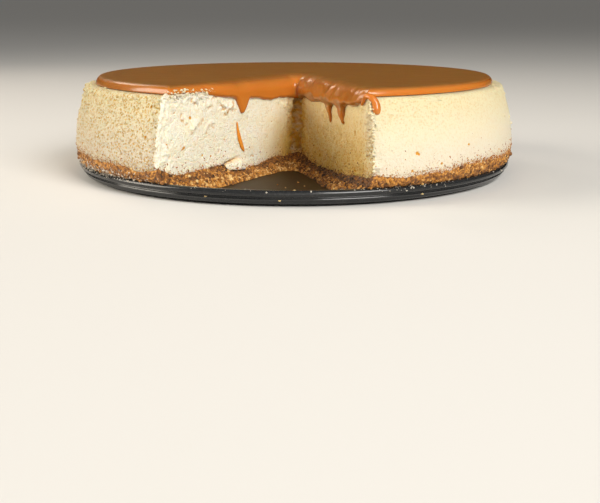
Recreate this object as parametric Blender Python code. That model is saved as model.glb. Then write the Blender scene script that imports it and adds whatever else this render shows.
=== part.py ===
"""Round baked cheesecake under a layer of caramel, with one wedge taken out.

It stands on the shallow metal base of its own baking tin.  Metres, +Z up, and
the open wedge faces -Y.  The origin is the middle of the tin's flat underside.
Angles round the cake are measured from -Y towards +X.
"""
from collections import namedtuple
from math import atan2, cos, pi, radians, sin, sqrt, tan

import bmesh
import bpy
from mathutils import Vector, noise

MM = 0.001
GAP = 0.3 * MM

# The wedge that is missing: two upright cuts that meet near the middle.
APEX = Vector((2.0 * MM, 0.0))
LEFT_CUT_ANGLE = radians(-32.5)
RIGHT_CUT_ANGLE = radians(17.5)
CUT_REFERENCE_RADIUS = 115.0 * MM

# Tin base.
TIN_RADIUS = 115.0 * MM
TIN_FLOOR_TOP = 1.8 * MM
TIN_SEGMENTS = 88
# Rim section from the underside round to the floor: inset from the radius, height.
TIN_RIM_SECTION = (
    (6.4, 0.0), (5.3, 0.5), (4.8, 1.5), (3.6, 2.2), (2.7, 2.8), (2.3, 3.8), (0.8, 4.7),
    (0.0, 5.6), (0.0, 6.7), (0.7, 7.6), (1.9, 7.9), (3.2, 7.5), (4.3, 5.0), (5.3, 2.6),
    (6.4, 1.8),
)

# Crust.
CRUST_FOOT_RADIUS = 108.2 * MM
CRUST_WALL_RADIUS = 115.5 * MM
CRUST_EDGE_RADIUS = 114.6 * MM
CRUST_INNER_TOP = 10.2 * MM
CRUST_WALL_TOP = 13.4 * MM
BANK_REACH_LEFT = 7.6 * MM
BANK_REACH_RIGHT = 6.8 * MM

# Filling.
FILLING_TOP = 47.0 * MM
FILLING_BULGE_RADIUS = 116.1 * MM
# Wall section upwards: height above the crust, inset from the bulge.
FILLING_WALL_SECTION = (
    (1.2, 0.2), (4.6, 0.0), (9.6, 0.4), (14.6, 1.0), (19.6, 2.1), (24.4, 3.6),
    (28.8, 4.9), (32.0, 6.0),
)
FILLING_APEX_FILLET = 2.4 * MM
CHUNK_LEAN = 3.0 * MM
SHOULDER_RADIUS = 109.6 * MM

# Caramel.
CARAMEL_BOTTOM = FILLING_TOP + GAP
CARAMEL_TOP = 51.2 * MM
CARAMEL_FOOT_RADIUS = 104.8 * MM
CARAMEL_CROWN_RADIUS = 102.6 * MM
CARAMEL_SHEET = 2.1 * MM
CARAMEL_APEX_FILLET = 3.4 * MM
CARAMEL_CUT_LENGTH = 105.0 * MM

# Stations round each ring.
FACE_STEPS = 46
ARC_STEPS = 60
APEX_STEPS = 8

Station = namedtuple("Station", "side run theta")


def smooth(low, high, value):
    """0 below low, 1 above high, and an S curve between."""
    share = min(1.0, max(0.0, (value - low) / (high - low)))
    return share * share * (3.0 - 2.0 * share)


def bump(value, middle, half_width):
    """1 at middle, falling to 0 at half_width on each side."""
    share = min(1.0, abs(value - middle) / half_width)
    return (1.0 - share * share) ** 2


def rough(position, size, seed):
    """Even noise between about -1 and 1 with features of the given size."""
    return noise.noise(Vector(position) / size + Vector((seed, 3.7 * seed, 1.3)))


def on_circle(theta, radius):
    return Vector((radius * sin(theta), -radius * cos(theta)))


def cut_axes(theta):
    """Direction from the apex along a cut, and its normal into the open wedge."""
    along = (on_circle(theta, CUT_REFERENCE_RADIUS) - APEX).normalized()
    normal = Vector((-along.y, along.x))
    if theta > 0.0:
        normal.negate()
    return along, normal


LEFT_ALONG, LEFT_NORMAL = cut_axes(LEFT_CUT_ANGLE)
RIGHT_ALONG, RIGHT_NORMAL = cut_axes(RIGHT_CUT_ANGLE)
BISECTOR = (LEFT_ALONG + RIGHT_ALONG).normalized()
HALF_OPENING = LEFT_ALONG.angle(RIGHT_ALONG) / 2.0
SIDES = {"left": (LEFT_ALONG, LEFT_NORMAL), "right": (RIGHT_ALONG, RIGHT_NORMAL)}


def reach_along(side, radius, base):
    """Length along a cut, from the apex, at which it meets a circle."""
    along, normal = SIDES[side]
    start = APEX + normal * base
    half = start.dot(along)
    return -half + sqrt(half * half - start.length_squared + radius * radius)


def make_stations():
    """Right cut outwards, round the back, left cut inwards, then the apex."""
    stations = []
    for step in range(FACE_STEPS + 1):
        stations.append(Station("right", step / FACE_STEPS, RIGHT_CUT_ANGLE))
    span = 2.0 * pi - (RIGHT_CUT_ANGLE - LEFT_CUT_ANGLE)
    for step in range(1, ARC_STEPS):
        run = step / ARC_STEPS
        stations.append(Station("arc", run, RIGHT_CUT_ANGLE + run * span))
    for step in range(FACE_STEPS + 1):
        stations.append(Station("left", 1.0 - step / FACE_STEPS, LEFT_CUT_ANGLE))
    for step in range(1, APEX_STEPS):
        stations.append(Station("apex", step / APEX_STEPS, 0.0))
    return stations


STATIONS = make_stations()


def along_cut(station):
    """Nominal distance from the apex, 0 for the apex itself."""
    if station.side in SIDES:
        return station.run * CUT_REFERENCE_RADIUS
    return CUT_REFERENCE_RADIUS if station.side == "arc" else 0.0


def ring(radius, height, base=0.0, fillet=FILLING_APEX_FILLET, extra=None):
    """Closed ring of points: an arc of the radius and two cuts moved by base.

    height and extra are functions of the station; extra adds to the outward
    offset, along the cut's normal or along the radius.
    """
    inset = (base + fillet) / tan(HALF_OPENING)
    centre = APEX + BISECTOR * ((base + fillet) / sin(HALF_OPENING))
    corners = {}
    for side in SIDES:
        along, normal = SIDES[side]
        corners[side] = APEX + normal * base + along * reach_along(side, radius, base)
    first = atan2(corners["right"].x, -corners["right"].y)
    last = atan2(corners["left"].x, -corners["left"].y) + 2.0 * pi
    points = []
    for station in STATIONS:
        more = extra(station) if extra else 0.0
        if station.side in SIDES:
            along, normal = SIDES[station.side]
            length = reach_along(station.side, radius, base)
            run = inset + (length - inset) * station.run
            place = APEX + along * run + normal * (base + more)
            if place.length > radius:
                place = place * (radius / place.length)
        elif station.side == "arc":
            place = on_circle(first + (last - first) * station.run, radius + more)
        else:
            turn = (1.0 - 2.0 * station.run) * (pi / 2.0 - HALF_OPENING)
            facing = Vector((
                BISECTOR.x * cos(turn) - BISECTOR.y * sin(turn),
                BISECTOR.x * sin(turn) + BISECTOR.y * cos(turn),
            ))
            place = centre - facing * (fillet - more)
        points.append(Vector((place.x, place.y, height(station))))
    return points


def skin(name, rings, colour, roughness, turned_bands=()):
    """Joins rings into one closed solid with a flat face at each end.

    turned_bands are the bands whose triangles are split the other way.
    """
    mesh = bpy.data.meshes.new(name)
    solid = bmesh.new()
    loops = [[solid.verts.new(point) for point in points] for points in rings]
    count = len(loops[0])
    for band, (lower, upper) in enumerate(zip(loops, loops[1:])):
        for i in range(count):
            j = (i + 1) % count
            if band in turned_bands:
                solid.faces.new((lower[i], lower[j], upper[i]))
                solid.faces.new((lower[j], upper[j], upper[i]))
            else:
                solid.faces.new((lower[i], lower[j], upper[j]))
                solid.faces.new((lower[i], upper[j], upper[i]))
    solid.faces.new(list(reversed(loops[0])))
    solid.faces.new(loops[-1])
    bmesh.ops.triangulate(solid, faces=[f for f in solid.faces if len(f.verts) > 3])
    bmesh.ops.recalc_face_normals(solid, faces=solid.faces)
    solid.to_mesh(mesh)
    solid.free()
    return finish(name, mesh, colour, roughness)


def finish(name, mesh, colour, roughness, metallic=0.0):
    """Adds the object and its own material, shaded smooth except at edges."""
    for face in mesh.polygons:
        face.use_smooth = True
    mesh.set_sharp_from_angle(angle=radians(40.0))
    material = bpy.data.materials.new(name)
    material.use_nodes = True
    shader = material.node_tree.nodes["Principled BSDF"]
    shader.inputs["Base Color"].default_value = (*colour, 1.0)
    shader.inputs["Roughness"].default_value = roughness
    shader.inputs["Metallic"].default_value = metallic
    material.diffuse_color = (*colour, 1.0)
    mesh.materials.append(material)
    made = bpy.data.objects.new(name, mesh)
    bpy.context.scene.collection.objects.link(made)
    return made


def crust_top(station):
    """Height of the line where crust meets filling."""
    run = along_cut(station)
    wave = rough((cos(station.theta), sin(station.theta), 0.0), 0.16, 2.0)
    wall = CRUST_WALL_TOP + 1.5 * MM * wave
    if station.side == "arc":
        return wall
    ripple = 0.5 * MM * rough((run, 0.0, 0.0), 9.0 * MM, 5.0)
    corner = smooth(96.0 * MM, 115.0 * MM, run)
    if station.side == "right":
        low = 8.2 * MM - 1.5 * MM * bump(run, 38.0 * MM, 34.0 * MM)
        low += 2.6 * MM * smooth(60.0 * MM, 105.0 * MM, run)
    elif station.side == "left":
        low = 8.2 * MM + 1.7 * MM * smooth(10.0 * MM, 70.0 * MM, run)
        low -= 2.8 * MM * chunk(station)
    else:
        low = 8.2 * MM
    return low + ripple + (13.2 * MM - low) * corner


def chunk(station):
    """Where a loose lump of filling leans out at the foot of the left cut."""
    if station.side != "left":
        return 0.0
    return bump(along_cut(station), 55.0 * MM, 13.0 * MM)


def cut_relief(height, deep, seed):
    """Torn crumb of the cut faces: it only goes inwards, deepest at the apex."""
    def extra(station):
        if station.side == "arc":
            place = on_circle(station.theta, CUT_REFERENCE_RADIUS)
            return 0.25 * MM * rough((place.x, place.y, height), 14.0 * MM, seed)
        run = along_cut(station)
        spot = (run, height, 0.0 if station.side == "left" else 0.3)
        coarse = rough(spot, 7.0 * MM, seed)
        fine = rough(spot, 3.0 * MM, seed + 4.0)
        crevice = bump(run, 0.0, 16.0 * MM)
        depth = deep * (0.55 + 0.9 * coarse + 0.5 * fine)
        depth += crevice * (1.2 * MM + 2.2 * MM * abs(coarse))
        return -max(0.0, depth)
    return extra


def interface(lift):
    """The rings that crust and filling share, raised by lift: edge, then inner."""
    def edge_offset(station):
        return CHUNK_LEAN * chunk(station)
    edge = ring(
        CRUST_EDGE_RADIUS,
        lambda station: crust_top(station) + lift,
        extra=edge_offset,
    )
    inner = ring(
        CRUST_EDGE_RADIUS - 9.0 * MM,
        lambda station: CRUST_INNER_TOP + lift,
        base=-8.0 * MM,
        fillet=10.0 * MM,
    )
    return edge, inner


def build_tin_base():
    """Shallow dish with a rolled rim, turned round its axis."""
    mesh = bpy.data.meshes.new("tin_base")
    solid = bmesh.new()
    loops = []
    for inset, height in TIN_RIM_SECTION:
        loop = []
        for step in range(TIN_SEGMENTS):
            angle = 2.0 * pi * step / TIN_SEGMENTS
            place = on_circle(angle, TIN_RADIUS - inset * MM)
            loop.append(solid.verts.new((place.x, place.y, height * MM)))
        loops.append(loop)
    for lower, upper in zip(loops, loops[1:]):
        for i in range(TIN_SEGMENTS):
            j = (i + 1) % TIN_SEGMENTS
            solid.faces.new((lower[i], lower[j], upper[j], upper[i]))
    for loop, height in ((loops[0], 0.0), (loops[-1], TIN_FLOOR_TOP)):
        middle = solid.verts.new((0.0, 0.0, height))
        for i in range(TIN_SEGMENTS):
            solid.faces.new((middle, loop[i], loop[(i + 1) % TIN_SEGMENTS]))
    bmesh.ops.recalc_face_normals(solid, faces=solid.faces)
    bmesh.ops.triangulate(solid, faces=solid.faces)
    solid.to_mesh(mesh)
    solid.free()
    return finish("tin_base", mesh, (0.035, 0.036, 0.038), 0.42, 0.7)


def build_crust():
    """Crumb crust in the dish and over its rim, with a bank of crumbs at each cut."""
    floor = TIN_FLOOR_TOP + GAP

    def level(arc_height, share):
        """Arc height round the wall, and a share of the crust's height at a cut."""
        def height(station):
            if station.side == "arc":
                return arc_height
            own = floor + share * (crust_top(station) - floor)
            near = smooth(100.0 * MM, 113.0 * MM, along_cut(station))
            return own + (arc_height - own) * near
        return height

    def bank(share, seed):
        def extra(station):
            if station.side == "arc":
                return 0.0
            left = station.side == "left"
            reach = BANK_REACH_LEFT if left else BANK_REACH_RIGHT
            run = along_cut(station)
            lump = rough((run, 0.0, share), 6.0 * MM, seed)
            lump += 0.5 * rough((run, 0.0, share), 2.8 * MM, seed + 1.0)
            grow = 1.0 + 0.25 * smooth(20.0 * MM, 90.0 * MM, run)
            own = share * reach * (grow - 1.0) + 1.5 * MM * lump
            return own + CHUNK_LEAN * chunk(station) * (1.0 - share)
        return extra

    def wall_grain(seed):
        def extra(station):
            if station.side != "arc":
                return bank(0.0, seed)(station)
            place = on_circle(station.theta, CUT_REFERENCE_RADIUS)
            return 0.35 * MM * rough((place.x, place.y, 0.0), 7.0 * MM, seed)
        return extra

    reach = (BANK_REACH_LEFT + BANK_REACH_RIGHT) / 2.0
    edge, inner = interface(0.0)
    rings = (
        ring(CRUST_FOOT_RADIUS, level(floor, 0.0), reach, 5.0 * MM, bank(1.0, 11.0)),
        ring(109.1 * MM, level(2.9 * MM, 0.2), 0.9 * reach, 5.0 * MM, bank(0.9, 11.4)),
        ring(110.2 * MM, level(5.2 * MM, 0.45), 0.52 * reach, 4.5 * MM, bank(0.55, 12.1)),
        ring(111.2 * MM, level(8.0 * MM, 0.6), 0.36 * reach, 4.2 * MM, bank(0.4, 12.8)),
        ring(114.1 * MM, level(8.4 * MM, 0.68), 0.26 * reach, 4.0 * MM, bank(0.3, 13.3)),
        ring(115.1 * MM, level(9.6 * MM, 0.76), 0.18 * reach, 3.6 * MM, wall_grain(13.9)),
        ring(CRUST_WALL_RADIUS, level(11.2 * MM, 0.88), 0.08 * reach, 3.0 * MM,
             wall_grain(14.6)),
        edge,
        inner,
    )
    return skin("crust", rings, (0.36, 0.17, 0.07), 0.85)


def build_filling():
    """Baked filling: bulging wall, rounded shoulder, flat top and torn cuts."""
    edge, inner = interface(GAP)
    def above_crust(rise):
        """Height that far above the crust, evened out towards the top."""
        def height(station):
            even = smooth(0.0, 20.0 * MM, rise)
            start = crust_top(station)
            return start + rise + (CRUST_WALL_TOP - start) * even
        return height

    rings = [inner, edge]
    for count, (rise, inset) in enumerate(FILLING_WALL_SECTION):
        height = above_crust(rise * MM)
        middle = CRUST_WALL_TOP + rise * MM
        relief = cut_relief(middle, 0.8 * MM, 20.0)
        lean = CHUNK_LEAN if count == 0 else 0.0

        def extra(station, relief=relief, lean=lean):
            return relief(station) + lean * chunk(station)

        rings.append(ring(FILLING_BULGE_RADIUS - inset * MM, height, extra=extra))
    shoulder = FILLING_TOP - 0.4 * MM
    rings.append(ring(SHOULDER_RADIUS, lambda station: shoulder,
                      extra=cut_relief(shoulder, 0.2 * MM, 20.0)))
    rings.append(ring(SHOULDER_RADIUS - 2.2 * MM, lambda station: FILLING_TOP,
                      base=-0.7 * MM))
    return skin("filling", rings, (0.86, 0.74, 0.47), 0.6, turned_bands=(0,))


def caramel_hang(station):
    """How far the caramel runs down a cut below the filling's top."""
    run = station.run * CARAMEL_CUT_LENGTH
    if station.side == "left":
        sheet = 9.0 * MM * (1.0 - smooth(0.0, 92.0 * MM, run))
        return sheet + 8.6 * MM * bump(run, 51.4 * MM, 6.2 * MM)
    if station.side == "right":
        sheet = 9.6 * MM - 5.2 * MM * smooth(50.0 * MM, 100.0 * MM, run)
        sheet *= 1.0 - smooth(98.5 * MM, 103.5 * MM, run)
        drip = 7.6 * MM * bump(run, 55.0 * MM, 5.6 * MM)
        return sheet + drip + 6.6 * MM * bump(run, 73.0 * MM, 8.0 * MM)
    return 0.0 if station.side == "arc" else 9.2 * MM


def build_caramel():
    """Caramel layer with a rounded rim, hanging over both cuts in sheets and drips."""
    def thickness(station):
        hang = caramel_hang(station)
        full = smooth(0.0, 6.0 * MM, hang)
        lump = 0.35 * MM * rough((along_cut(station), 0.0, 9.0), 7.0 * MM, 31.0)
        return (CARAMEL_SHEET + lump) * full

    def drop(share, arc_height, end_lift=0.0):
        """Height at a share of the hang, with the arc's own height."""
        def height(station):
            if station.side == "arc":
                return arc_height
            return CARAMEL_BOTTOM - share * caramel_hang(station) + end_lift
        return height

    def front(share):
        def extra(station):
            return 0.0 if station.side == "arc" else share * thickness(station)
        return extra

    def at(height):
        return lambda station: height

    fillet = CARAMEL_APEX_FILLET
    foot = CARAMEL_FOOT_RADIUS
    rings = (
        ring(foot - 5.0 * MM, at(CARAMEL_BOTTOM), -4.0 * MM, fillet + 4.0 * MM),
        ring(foot - 0.9 * MM, at(CARAMEL_BOTTOM), GAP, fillet),
        ring(foot - 0.4 * MM, drop(0.94, CARAMEL_BOTTOM), GAP, fillet),
        ring(foot - 0.1 * MM, drop(1.0, CARAMEL_BOTTOM + 0.15 * MM), GAP, fillet,
             front(0.5)),
        ring(foot, drop(0.9, CARAMEL_BOTTOM + 0.6 * MM, 0.3 * MM), GAP, fillet,
             front(0.92)),
        ring(foot, drop(0.45, CARAMEL_BOTTOM + 1.2 * MM, 0.5 * MM), GAP, fillet,
             front(1.15)),
        ring(foot - 0.3 * MM, at(CARAMEL_BOTTOM + 2.0 * MM), GAP, fillet, front(0.9)),
        ring(foot - 1.0 * MM, at(CARAMEL_BOTTOM + 3.0 * MM), GAP, fillet, front(0.45)),
        ring(CARAMEL_CROWN_RADIUS, at(CARAMEL_TOP - 0.25 * MM), -0.9 * MM, fillet + MM),
        ring(CARAMEL_CROWN_RADIUS - 3.0 * MM, at(CARAMEL_TOP), -3.5 * MM,
             fillet + 3.5 * MM),
    )
    return skin("caramel_topping", rings, (0.33, 0.15, 0.045), 0.3)


def corner_blob():
    """Caramel that ran over the shoulder at the right-hand corner, as a closed pad."""
    across_steps = 8
    down_steps = 10
    path = (
        (103.2, 48.6), (105.4, 47.6), (107.2, 47.35), (108.8, 47.15), (109.9, 46.6),
        (110.6, 45.4), (111.1, 43.9), (111.6, 42.4), (112.1, 41.2), (112.3, 40.6),
        (112.5, 40.0),
    )
    pad = bmesh.new()
    front = []
    back = []
    for i in range(across_steps + 1):
        across = 2.0 * i / across_steps - 1.0
        front.append([])
        back.append([])
        for j in range(down_steps + 1):
            down = j / down_steps
            half_width = radians(1.8) * sqrt(max(0.02, 1.0 - (down - 0.35) ** 2 / 0.45))
            theta = RIGHT_CUT_ANGLE + radians(0.4) + half_width * across
            radius, height = path[j]
            edge = (1.0 - across ** 2) * (1.0 - max(0.0, 2.4 * (down - 0.62)) ** 2)
            thick = 2.2 * max(0.0, edge) ** 0.5 + 0.25
            low = on_circle(theta, (radius + 0.35) * MM)
            slope = smooth(0.15, 0.6, down)
            high = on_circle(theta, (radius + 0.35 + thick * slope) * MM)
            lift = thick * (1.0 - slope)
            back[i].append(pad.verts.new((low.x, low.y, height * MM)))
            front[i].append(pad.verts.new((high.x, high.y, (height + lift) * MM)))
    for i in range(across_steps):
        for j in range(down_steps):
            for grid in (front, back):
                pad.faces.new((grid[i][j], grid[i + 1][j], grid[i + 1][j + 1],
                               grid[i][j + 1]))
    for i in range(across_steps):
        for j in (0, down_steps):
            pad.faces.new((front[i][j], front[i + 1][j], back[i + 1][j], back[i][j]))
    for j in range(down_steps):
        for i in (0, across_steps):
            pad.faces.new((front[i][j], front[i][j + 1], back[i][j + 1], back[i][j]))
    bmesh.ops.recalc_face_normals(pad, faces=pad.faces)
    bmesh.ops.triangulate(pad, faces=pad.faces)
    mesh = bpy.data.meshes.new("corner_blob")
    pad.to_mesh(mesh)
    pad.free()
    made = bpy.data.objects.new("corner_blob", mesh)
    bpy.context.scene.collection.objects.link(made)
    return made


def fuse(body, tool):
    """Joins the tool to the body for good and removes the tool."""
    union = body.modifiers.new("fuse", "BOOLEAN")
    union.operation = "UNION"
    union.solver = "EXACT"
    union.object = tool
    bpy.context.view_layer.update()
    graph = bpy.context.evaluated_depsgraph_get()
    mesh = bpy.data.meshes.new_from_object(body.evaluated_get(graph))
    body.modifiers.clear()
    body.data = mesh
    bpy.data.objects.remove(tool)


def main():
    for old in list(bpy.data.objects):
        bpy.data.objects.remove(old)
    build_tin_base()
    build_crust()
    build_filling()
    caramel = build_caramel()
    fuse(caramel, corner_blob())


main()
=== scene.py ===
"""Looks of a round baked cheesecake with caramel, one wedge cut out, on its tin base.

Every piece is modelled in millimetres round the axis of the tin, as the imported
solids are, and turned into metres when its mesh is written.  Angles round the
cake are measured from -Y, where the camera stands, towards +X.
"""

import logging
import math
from dataclasses import dataclass
from enum import Enum
from typing import Any, NamedTuple, Optional, Sequence

import bmesh
import bpy
import numpy as np
from mathutils import Euler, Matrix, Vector
from mathutils.geometry import delaunay_2d_cdt


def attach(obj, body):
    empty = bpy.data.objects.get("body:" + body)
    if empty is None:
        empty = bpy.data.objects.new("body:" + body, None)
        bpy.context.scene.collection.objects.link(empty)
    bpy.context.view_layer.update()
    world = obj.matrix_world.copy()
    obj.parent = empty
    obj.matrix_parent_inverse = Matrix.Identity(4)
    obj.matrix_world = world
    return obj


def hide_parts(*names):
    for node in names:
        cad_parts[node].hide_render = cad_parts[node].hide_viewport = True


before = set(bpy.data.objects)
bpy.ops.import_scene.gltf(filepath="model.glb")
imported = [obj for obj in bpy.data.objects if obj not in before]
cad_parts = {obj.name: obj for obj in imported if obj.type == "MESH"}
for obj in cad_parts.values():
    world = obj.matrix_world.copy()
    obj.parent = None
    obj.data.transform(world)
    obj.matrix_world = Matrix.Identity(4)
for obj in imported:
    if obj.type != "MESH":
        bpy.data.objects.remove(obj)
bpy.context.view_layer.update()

MM = 0.001
BODY = "root"
EDGE_BITS = 110
# Clusters of curd bits at the left cut's top edge, in mm from the apex.
EDGE_CLUSTERS = (99.0, 102.0, 96.0, 104.5, 93.0, 89.0, 84.0, 76.0)
CORNER_BITS = 90
PHOTO_WIDTH_PX = 600
LOG = logging.getLogger("cheesecake")

Array = np.ndarray


class Side(Enum):
    """Stretches of the cake's outline."""

    RIGHT_CUT = 0
    OUTER_WALL = 1
    LEFT_CUT = 2
    APEX = 3


# Small shared tools.


def srgb(colour: str) -> tuple[float, float, float, float]:
    """Turns an sRGB hex colour into a linear one.

    Args:
        colour: Six hex digits, such as "f5ecc8".

    Returns:
        Linear red, green, blue and an alpha of 1.
    """
    channels = [int(colour[i:i + 2], 16) / 255.0 for i in (0, 2, 4)]
    linear = [c / 12.92 if c <= 0.04045 else ((c + 0.055) / 1.055) ** 2.4
              for c in channels]
    return (*linear, 1.0)


def add_node(tree: bpy.types.NodeTree, kind: str,
             values: Optional[dict[Any, Any]] = None,
             links: Optional[dict[Any, Any]] = None, **settings: Any) -> Any:
    """Adds a node with its settings, input values and links.

    Args:
        tree: The tree that takes the node.
        kind: The node's type name.
        values: Input names or numbers, and the values they get.
        links: Input names or numbers, and the output sockets that feed them.
        **settings: Properties of the node.

    Returns:
        The new node.
    """
    node = tree.nodes.new(kind)
    for name, value in settings.items():
        setattr(node, name, value)
    for name, value in (values or {}).items():
        node.inputs[name].default_value = value
    for name, socket in (links or {}).items():
        tree.links.new(socket, node.inputs[name])
    return node


def smooth(low: float, high: float, value: Array) -> Array:
    """0 below low, 1 above high, and an S curve between."""
    share = np.clip((np.asarray(value, float) - low) / (high - low), 0.0, 1.0)
    return share * share * (3.0 - 2.0 * share)


def bump(value: Array, middle: float, half_width: float) -> Array:
    """1 at middle, falling to 0 at half_width on each side."""
    share = np.clip(np.abs(np.asarray(value, float) - middle) / half_width, 0.0, 1.0)
    return (1.0 - share * share) ** 2


def on_circle(theta: Array, radius: Array) -> Array:
    """Points on a circle round the axis, angles in radians from -Y to +X."""
    return np.stack([radius * np.sin(theta), -radius * np.cos(theta)], axis=-1)


class Noise:
    """Repeatable noise on a lattice: the same crumb and ripples on each run."""

    @staticmethod
    def random(cell: Array, seed: int) -> Array:
        """One even random number, 0 to 1, for each whole-numbered cell.

        Args:
            cell: Whole cell coordinates, shape (n, 3).
            seed: Seed of the draw.

        Returns:
            Numbers of shape (n,).
        """
        mask = 0xFFFFFFFF
        mixed = ((cell[:, 0] * 73856093) ^ (cell[:, 1] * 19349663)
                 ^ (cell[:, 2] * 83492791) ^ (seed * 374761393)) & mask
        mixed = ((mixed ^ (mixed >> 13)) * 1274126177) & mask
        mixed = ((mixed ^ (mixed >> 16)) * 668265263) & mask
        return (mixed ^ (mixed >> 15)).astype(float) / mask

    @classmethod
    def even(cls, points: Array, size: float, seed: int) -> Array:
        """Smooth noise between -1 and 1.

        Args:
            points: Places in mm, shape (n, 3).
            size: Size of one lattice cell in mm.
            seed: Seed of the lattice.

        Returns:
            Values of shape (n,).
        """
        scaled = points / size
        base = np.floor(scaled).astype(np.int64)
        part = scaled - base
        ease = part * part * (3.0 - 2.0 * part)
        total = np.zeros(len(points))
        for dx in (0, 1):
            for dy in (0, 1):
                for dz in (0, 1):
                    corner = cls.random(base + np.array([dx, dy, dz]), seed)
                    weight = ((ease[:, 0] if dx else 1.0 - ease[:, 0])
                              * (ease[:, 1] if dy else 1.0 - ease[:, 1])
                              * (ease[:, 2] if dz else 1.0 - ease[:, 2]))
                    total += weight * corner
        return 2.0 * total - 1.0

    @classmethod
    def layered(cls, points: Array, size: float, seed: int, octaves: int = 3) -> Array:
        """Noise with finer and finer detail, each layer half as strong.

        Args:
            points: Places in mm, shape (n, 3).
            size: Size of the coarsest cell in mm.
            seed: Seed of the coarsest layer.
            octaves: Number of layers.

        Returns:
            Values of shape (n,), about -1 to 1.
        """
        total = np.zeros(len(points))
        for level in range(octaves):
            total += 0.5 ** level * cls.even(points, size / 2.0 ** level, seed + level)
        return total / 1.5

    @classmethod
    def cells(cls, points: Array, size: float, seed: int) -> tuple[Array, Array]:
        """Distance to the nearest scattered centre, and that centre's own number.

        Args:
            points: Places in mm, shape (n, 3).
            size: Mean distance between centres in mm.
            seed: Seed of the centres.

        Returns:
            Distances in mm and random numbers 0 to 1, each of shape (n,).
        """
        scaled = points / size
        base = np.floor(scaled).astype(np.int64)
        nearest = np.full(len(points), 9.0)
        number = np.zeros(len(points))
        for dx in (-1, 0, 1):
            for dy in (-1, 0, 1):
                for dz in (-1, 0, 1):
                    cell = base + np.array([dx, dy, dz])
                    centre = cell + np.stack(
                        [cls.random(cell, seed + k) for k in (1, 2, 3)], axis=-1)
                    away = np.linalg.norm(scaled - centre, axis=1)
                    closer = away < nearest
                    nearest = np.where(closer, away, nearest)
                    number = np.where(closer, cls.random(cell, seed + 4), number)
        return nearest * size, number


class Grain(NamedTuple):
    """A noise pattern: size of its coarsest feature in mm, seed and number of layers."""

    size: float
    seed: int
    layers: int = 2

    def at(self, spots: Array) -> Array:
        """Layered noise at each place, about -1 to 1."""
        return Noise.layered(spots, self.size, self.seed, self.layers)

    def plain(self, spots: Array) -> Array:
        """One layer of noise at each place, -1 to 1."""
        return Noise.even(spots, self.size, self.seed)

    def cells(self, spots: Array) -> tuple[Array, Array]:
        """Distance in mm to the nearest scattered centre, and that centre's number."""
        return Noise.cells(spots, self.size, self.seed)


def make_object(name: str, points: Array, faces: Sequence[Sequence[int]],
                attributes: Optional[dict[str, Array]] = None) -> bpy.types.Object:
    """Writes a smooth-shaded mesh object at the origin.

    Args:
        name: Name of the object.
        points: Places in mm, shape (n, 3).
        faces: Corners of each face.
        attributes: One number for each point, by name.

    Returns:
        The new object.
    """
    mesh = bpy.data.meshes.new(name)
    mesh.from_pydata((points * MM).tolist(), [], [list(f) for f in faces])
    for key, values in (attributes or {}).items():
        layer = mesh.attributes.new(key, "FLOAT", "POINT")
        layer.data.foreach_set("value", np.asarray(values, np.float32))
    mesh.polygons.foreach_set("use_smooth", [True] * len(mesh.polygons))
    mesh.validate()
    made = bpy.data.objects.new(name, mesh)
    bpy.context.scene.collection.objects.link(made)
    return made


def band_faces(rows: int, count: int) -> Array:
    """Quads between closed rings of equal count, each ring a row of points.

    Args:
        rows: Number of rings.
        count: Points on a ring.

    Returns:
        Corners of the quads, shape (n, 4).
    """
    row, col = np.meshgrid(np.arange(rows - 1), np.arange(count), indexing="ij")
    after = (col + 1) % count
    quads = np.stack([row * count + col, row * count + after,
                      (row + 1) * count + after, (row + 1) * count + col], axis=-1)
    return quads.reshape(-1, 4)


def capped_faces(rows: int, count: int) -> list[list[int]]:
    """Quads between closed rings, with a lid on the first and on the last ring.

    Args:
        rows: Number of rings.
        count: Points on a ring.

    Returns:
        Corners of each face.
    """
    faces = band_faces(rows, count).tolist()
    first = list(range(count))
    faces.append(first[::-1])
    faces.append([(rows - 1) * count + i for i in first])
    return faces


def grid_normals(grid: Array) -> Array:
    """Outward unit normals of closed rings stacked upwards.

    Args:
        grid: Places, shape (rows, n, 3).

    Returns:
        Normals of the same shape.
    """
    around = np.roll(grid, -1, axis=1) - np.roll(grid, 1, axis=1)
    upward = np.gradient(grid, axis=0)
    normal = np.cross(around, upward)
    return normal / np.maximum(np.linalg.norm(normal, axis=2, keepdims=True), 1e-9)


def new_material(name: str, constants: dict[str, Any]) -> tuple[
        bpy.types.Material, bpy.types.NodeTree, bpy.types.Node]:
    """Starts a node material.

    Args:
        name: Name of the material.
        constants: Shader sockets that hold one value all over, and their values.

    Returns:
        The material, its tree and its shader.
    """
    material = bpy.data.materials.new(name)
    material.use_nodes = True
    shader = material.node_tree.nodes["Principled BSDF"]
    for socket, value in constants.items():
        shader.inputs[socket].default_value = value
    return material, material.node_tree, shader


def settle(piece: bpy.types.Object, finish: Any, slot: str, *nodes: str) -> None:
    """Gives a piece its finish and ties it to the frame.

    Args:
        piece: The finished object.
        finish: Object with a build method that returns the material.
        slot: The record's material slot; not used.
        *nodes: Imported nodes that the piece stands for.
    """
    if finish is not None:
        piece.data.materials.clear()
        piece.data.materials.append(finish.build())
    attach(piece, BODY)
    if nodes:
        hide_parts(*nodes)
    LOG.info("%s: %d faces", piece.name, len(piece.data.polygons))


# The outline.


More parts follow.
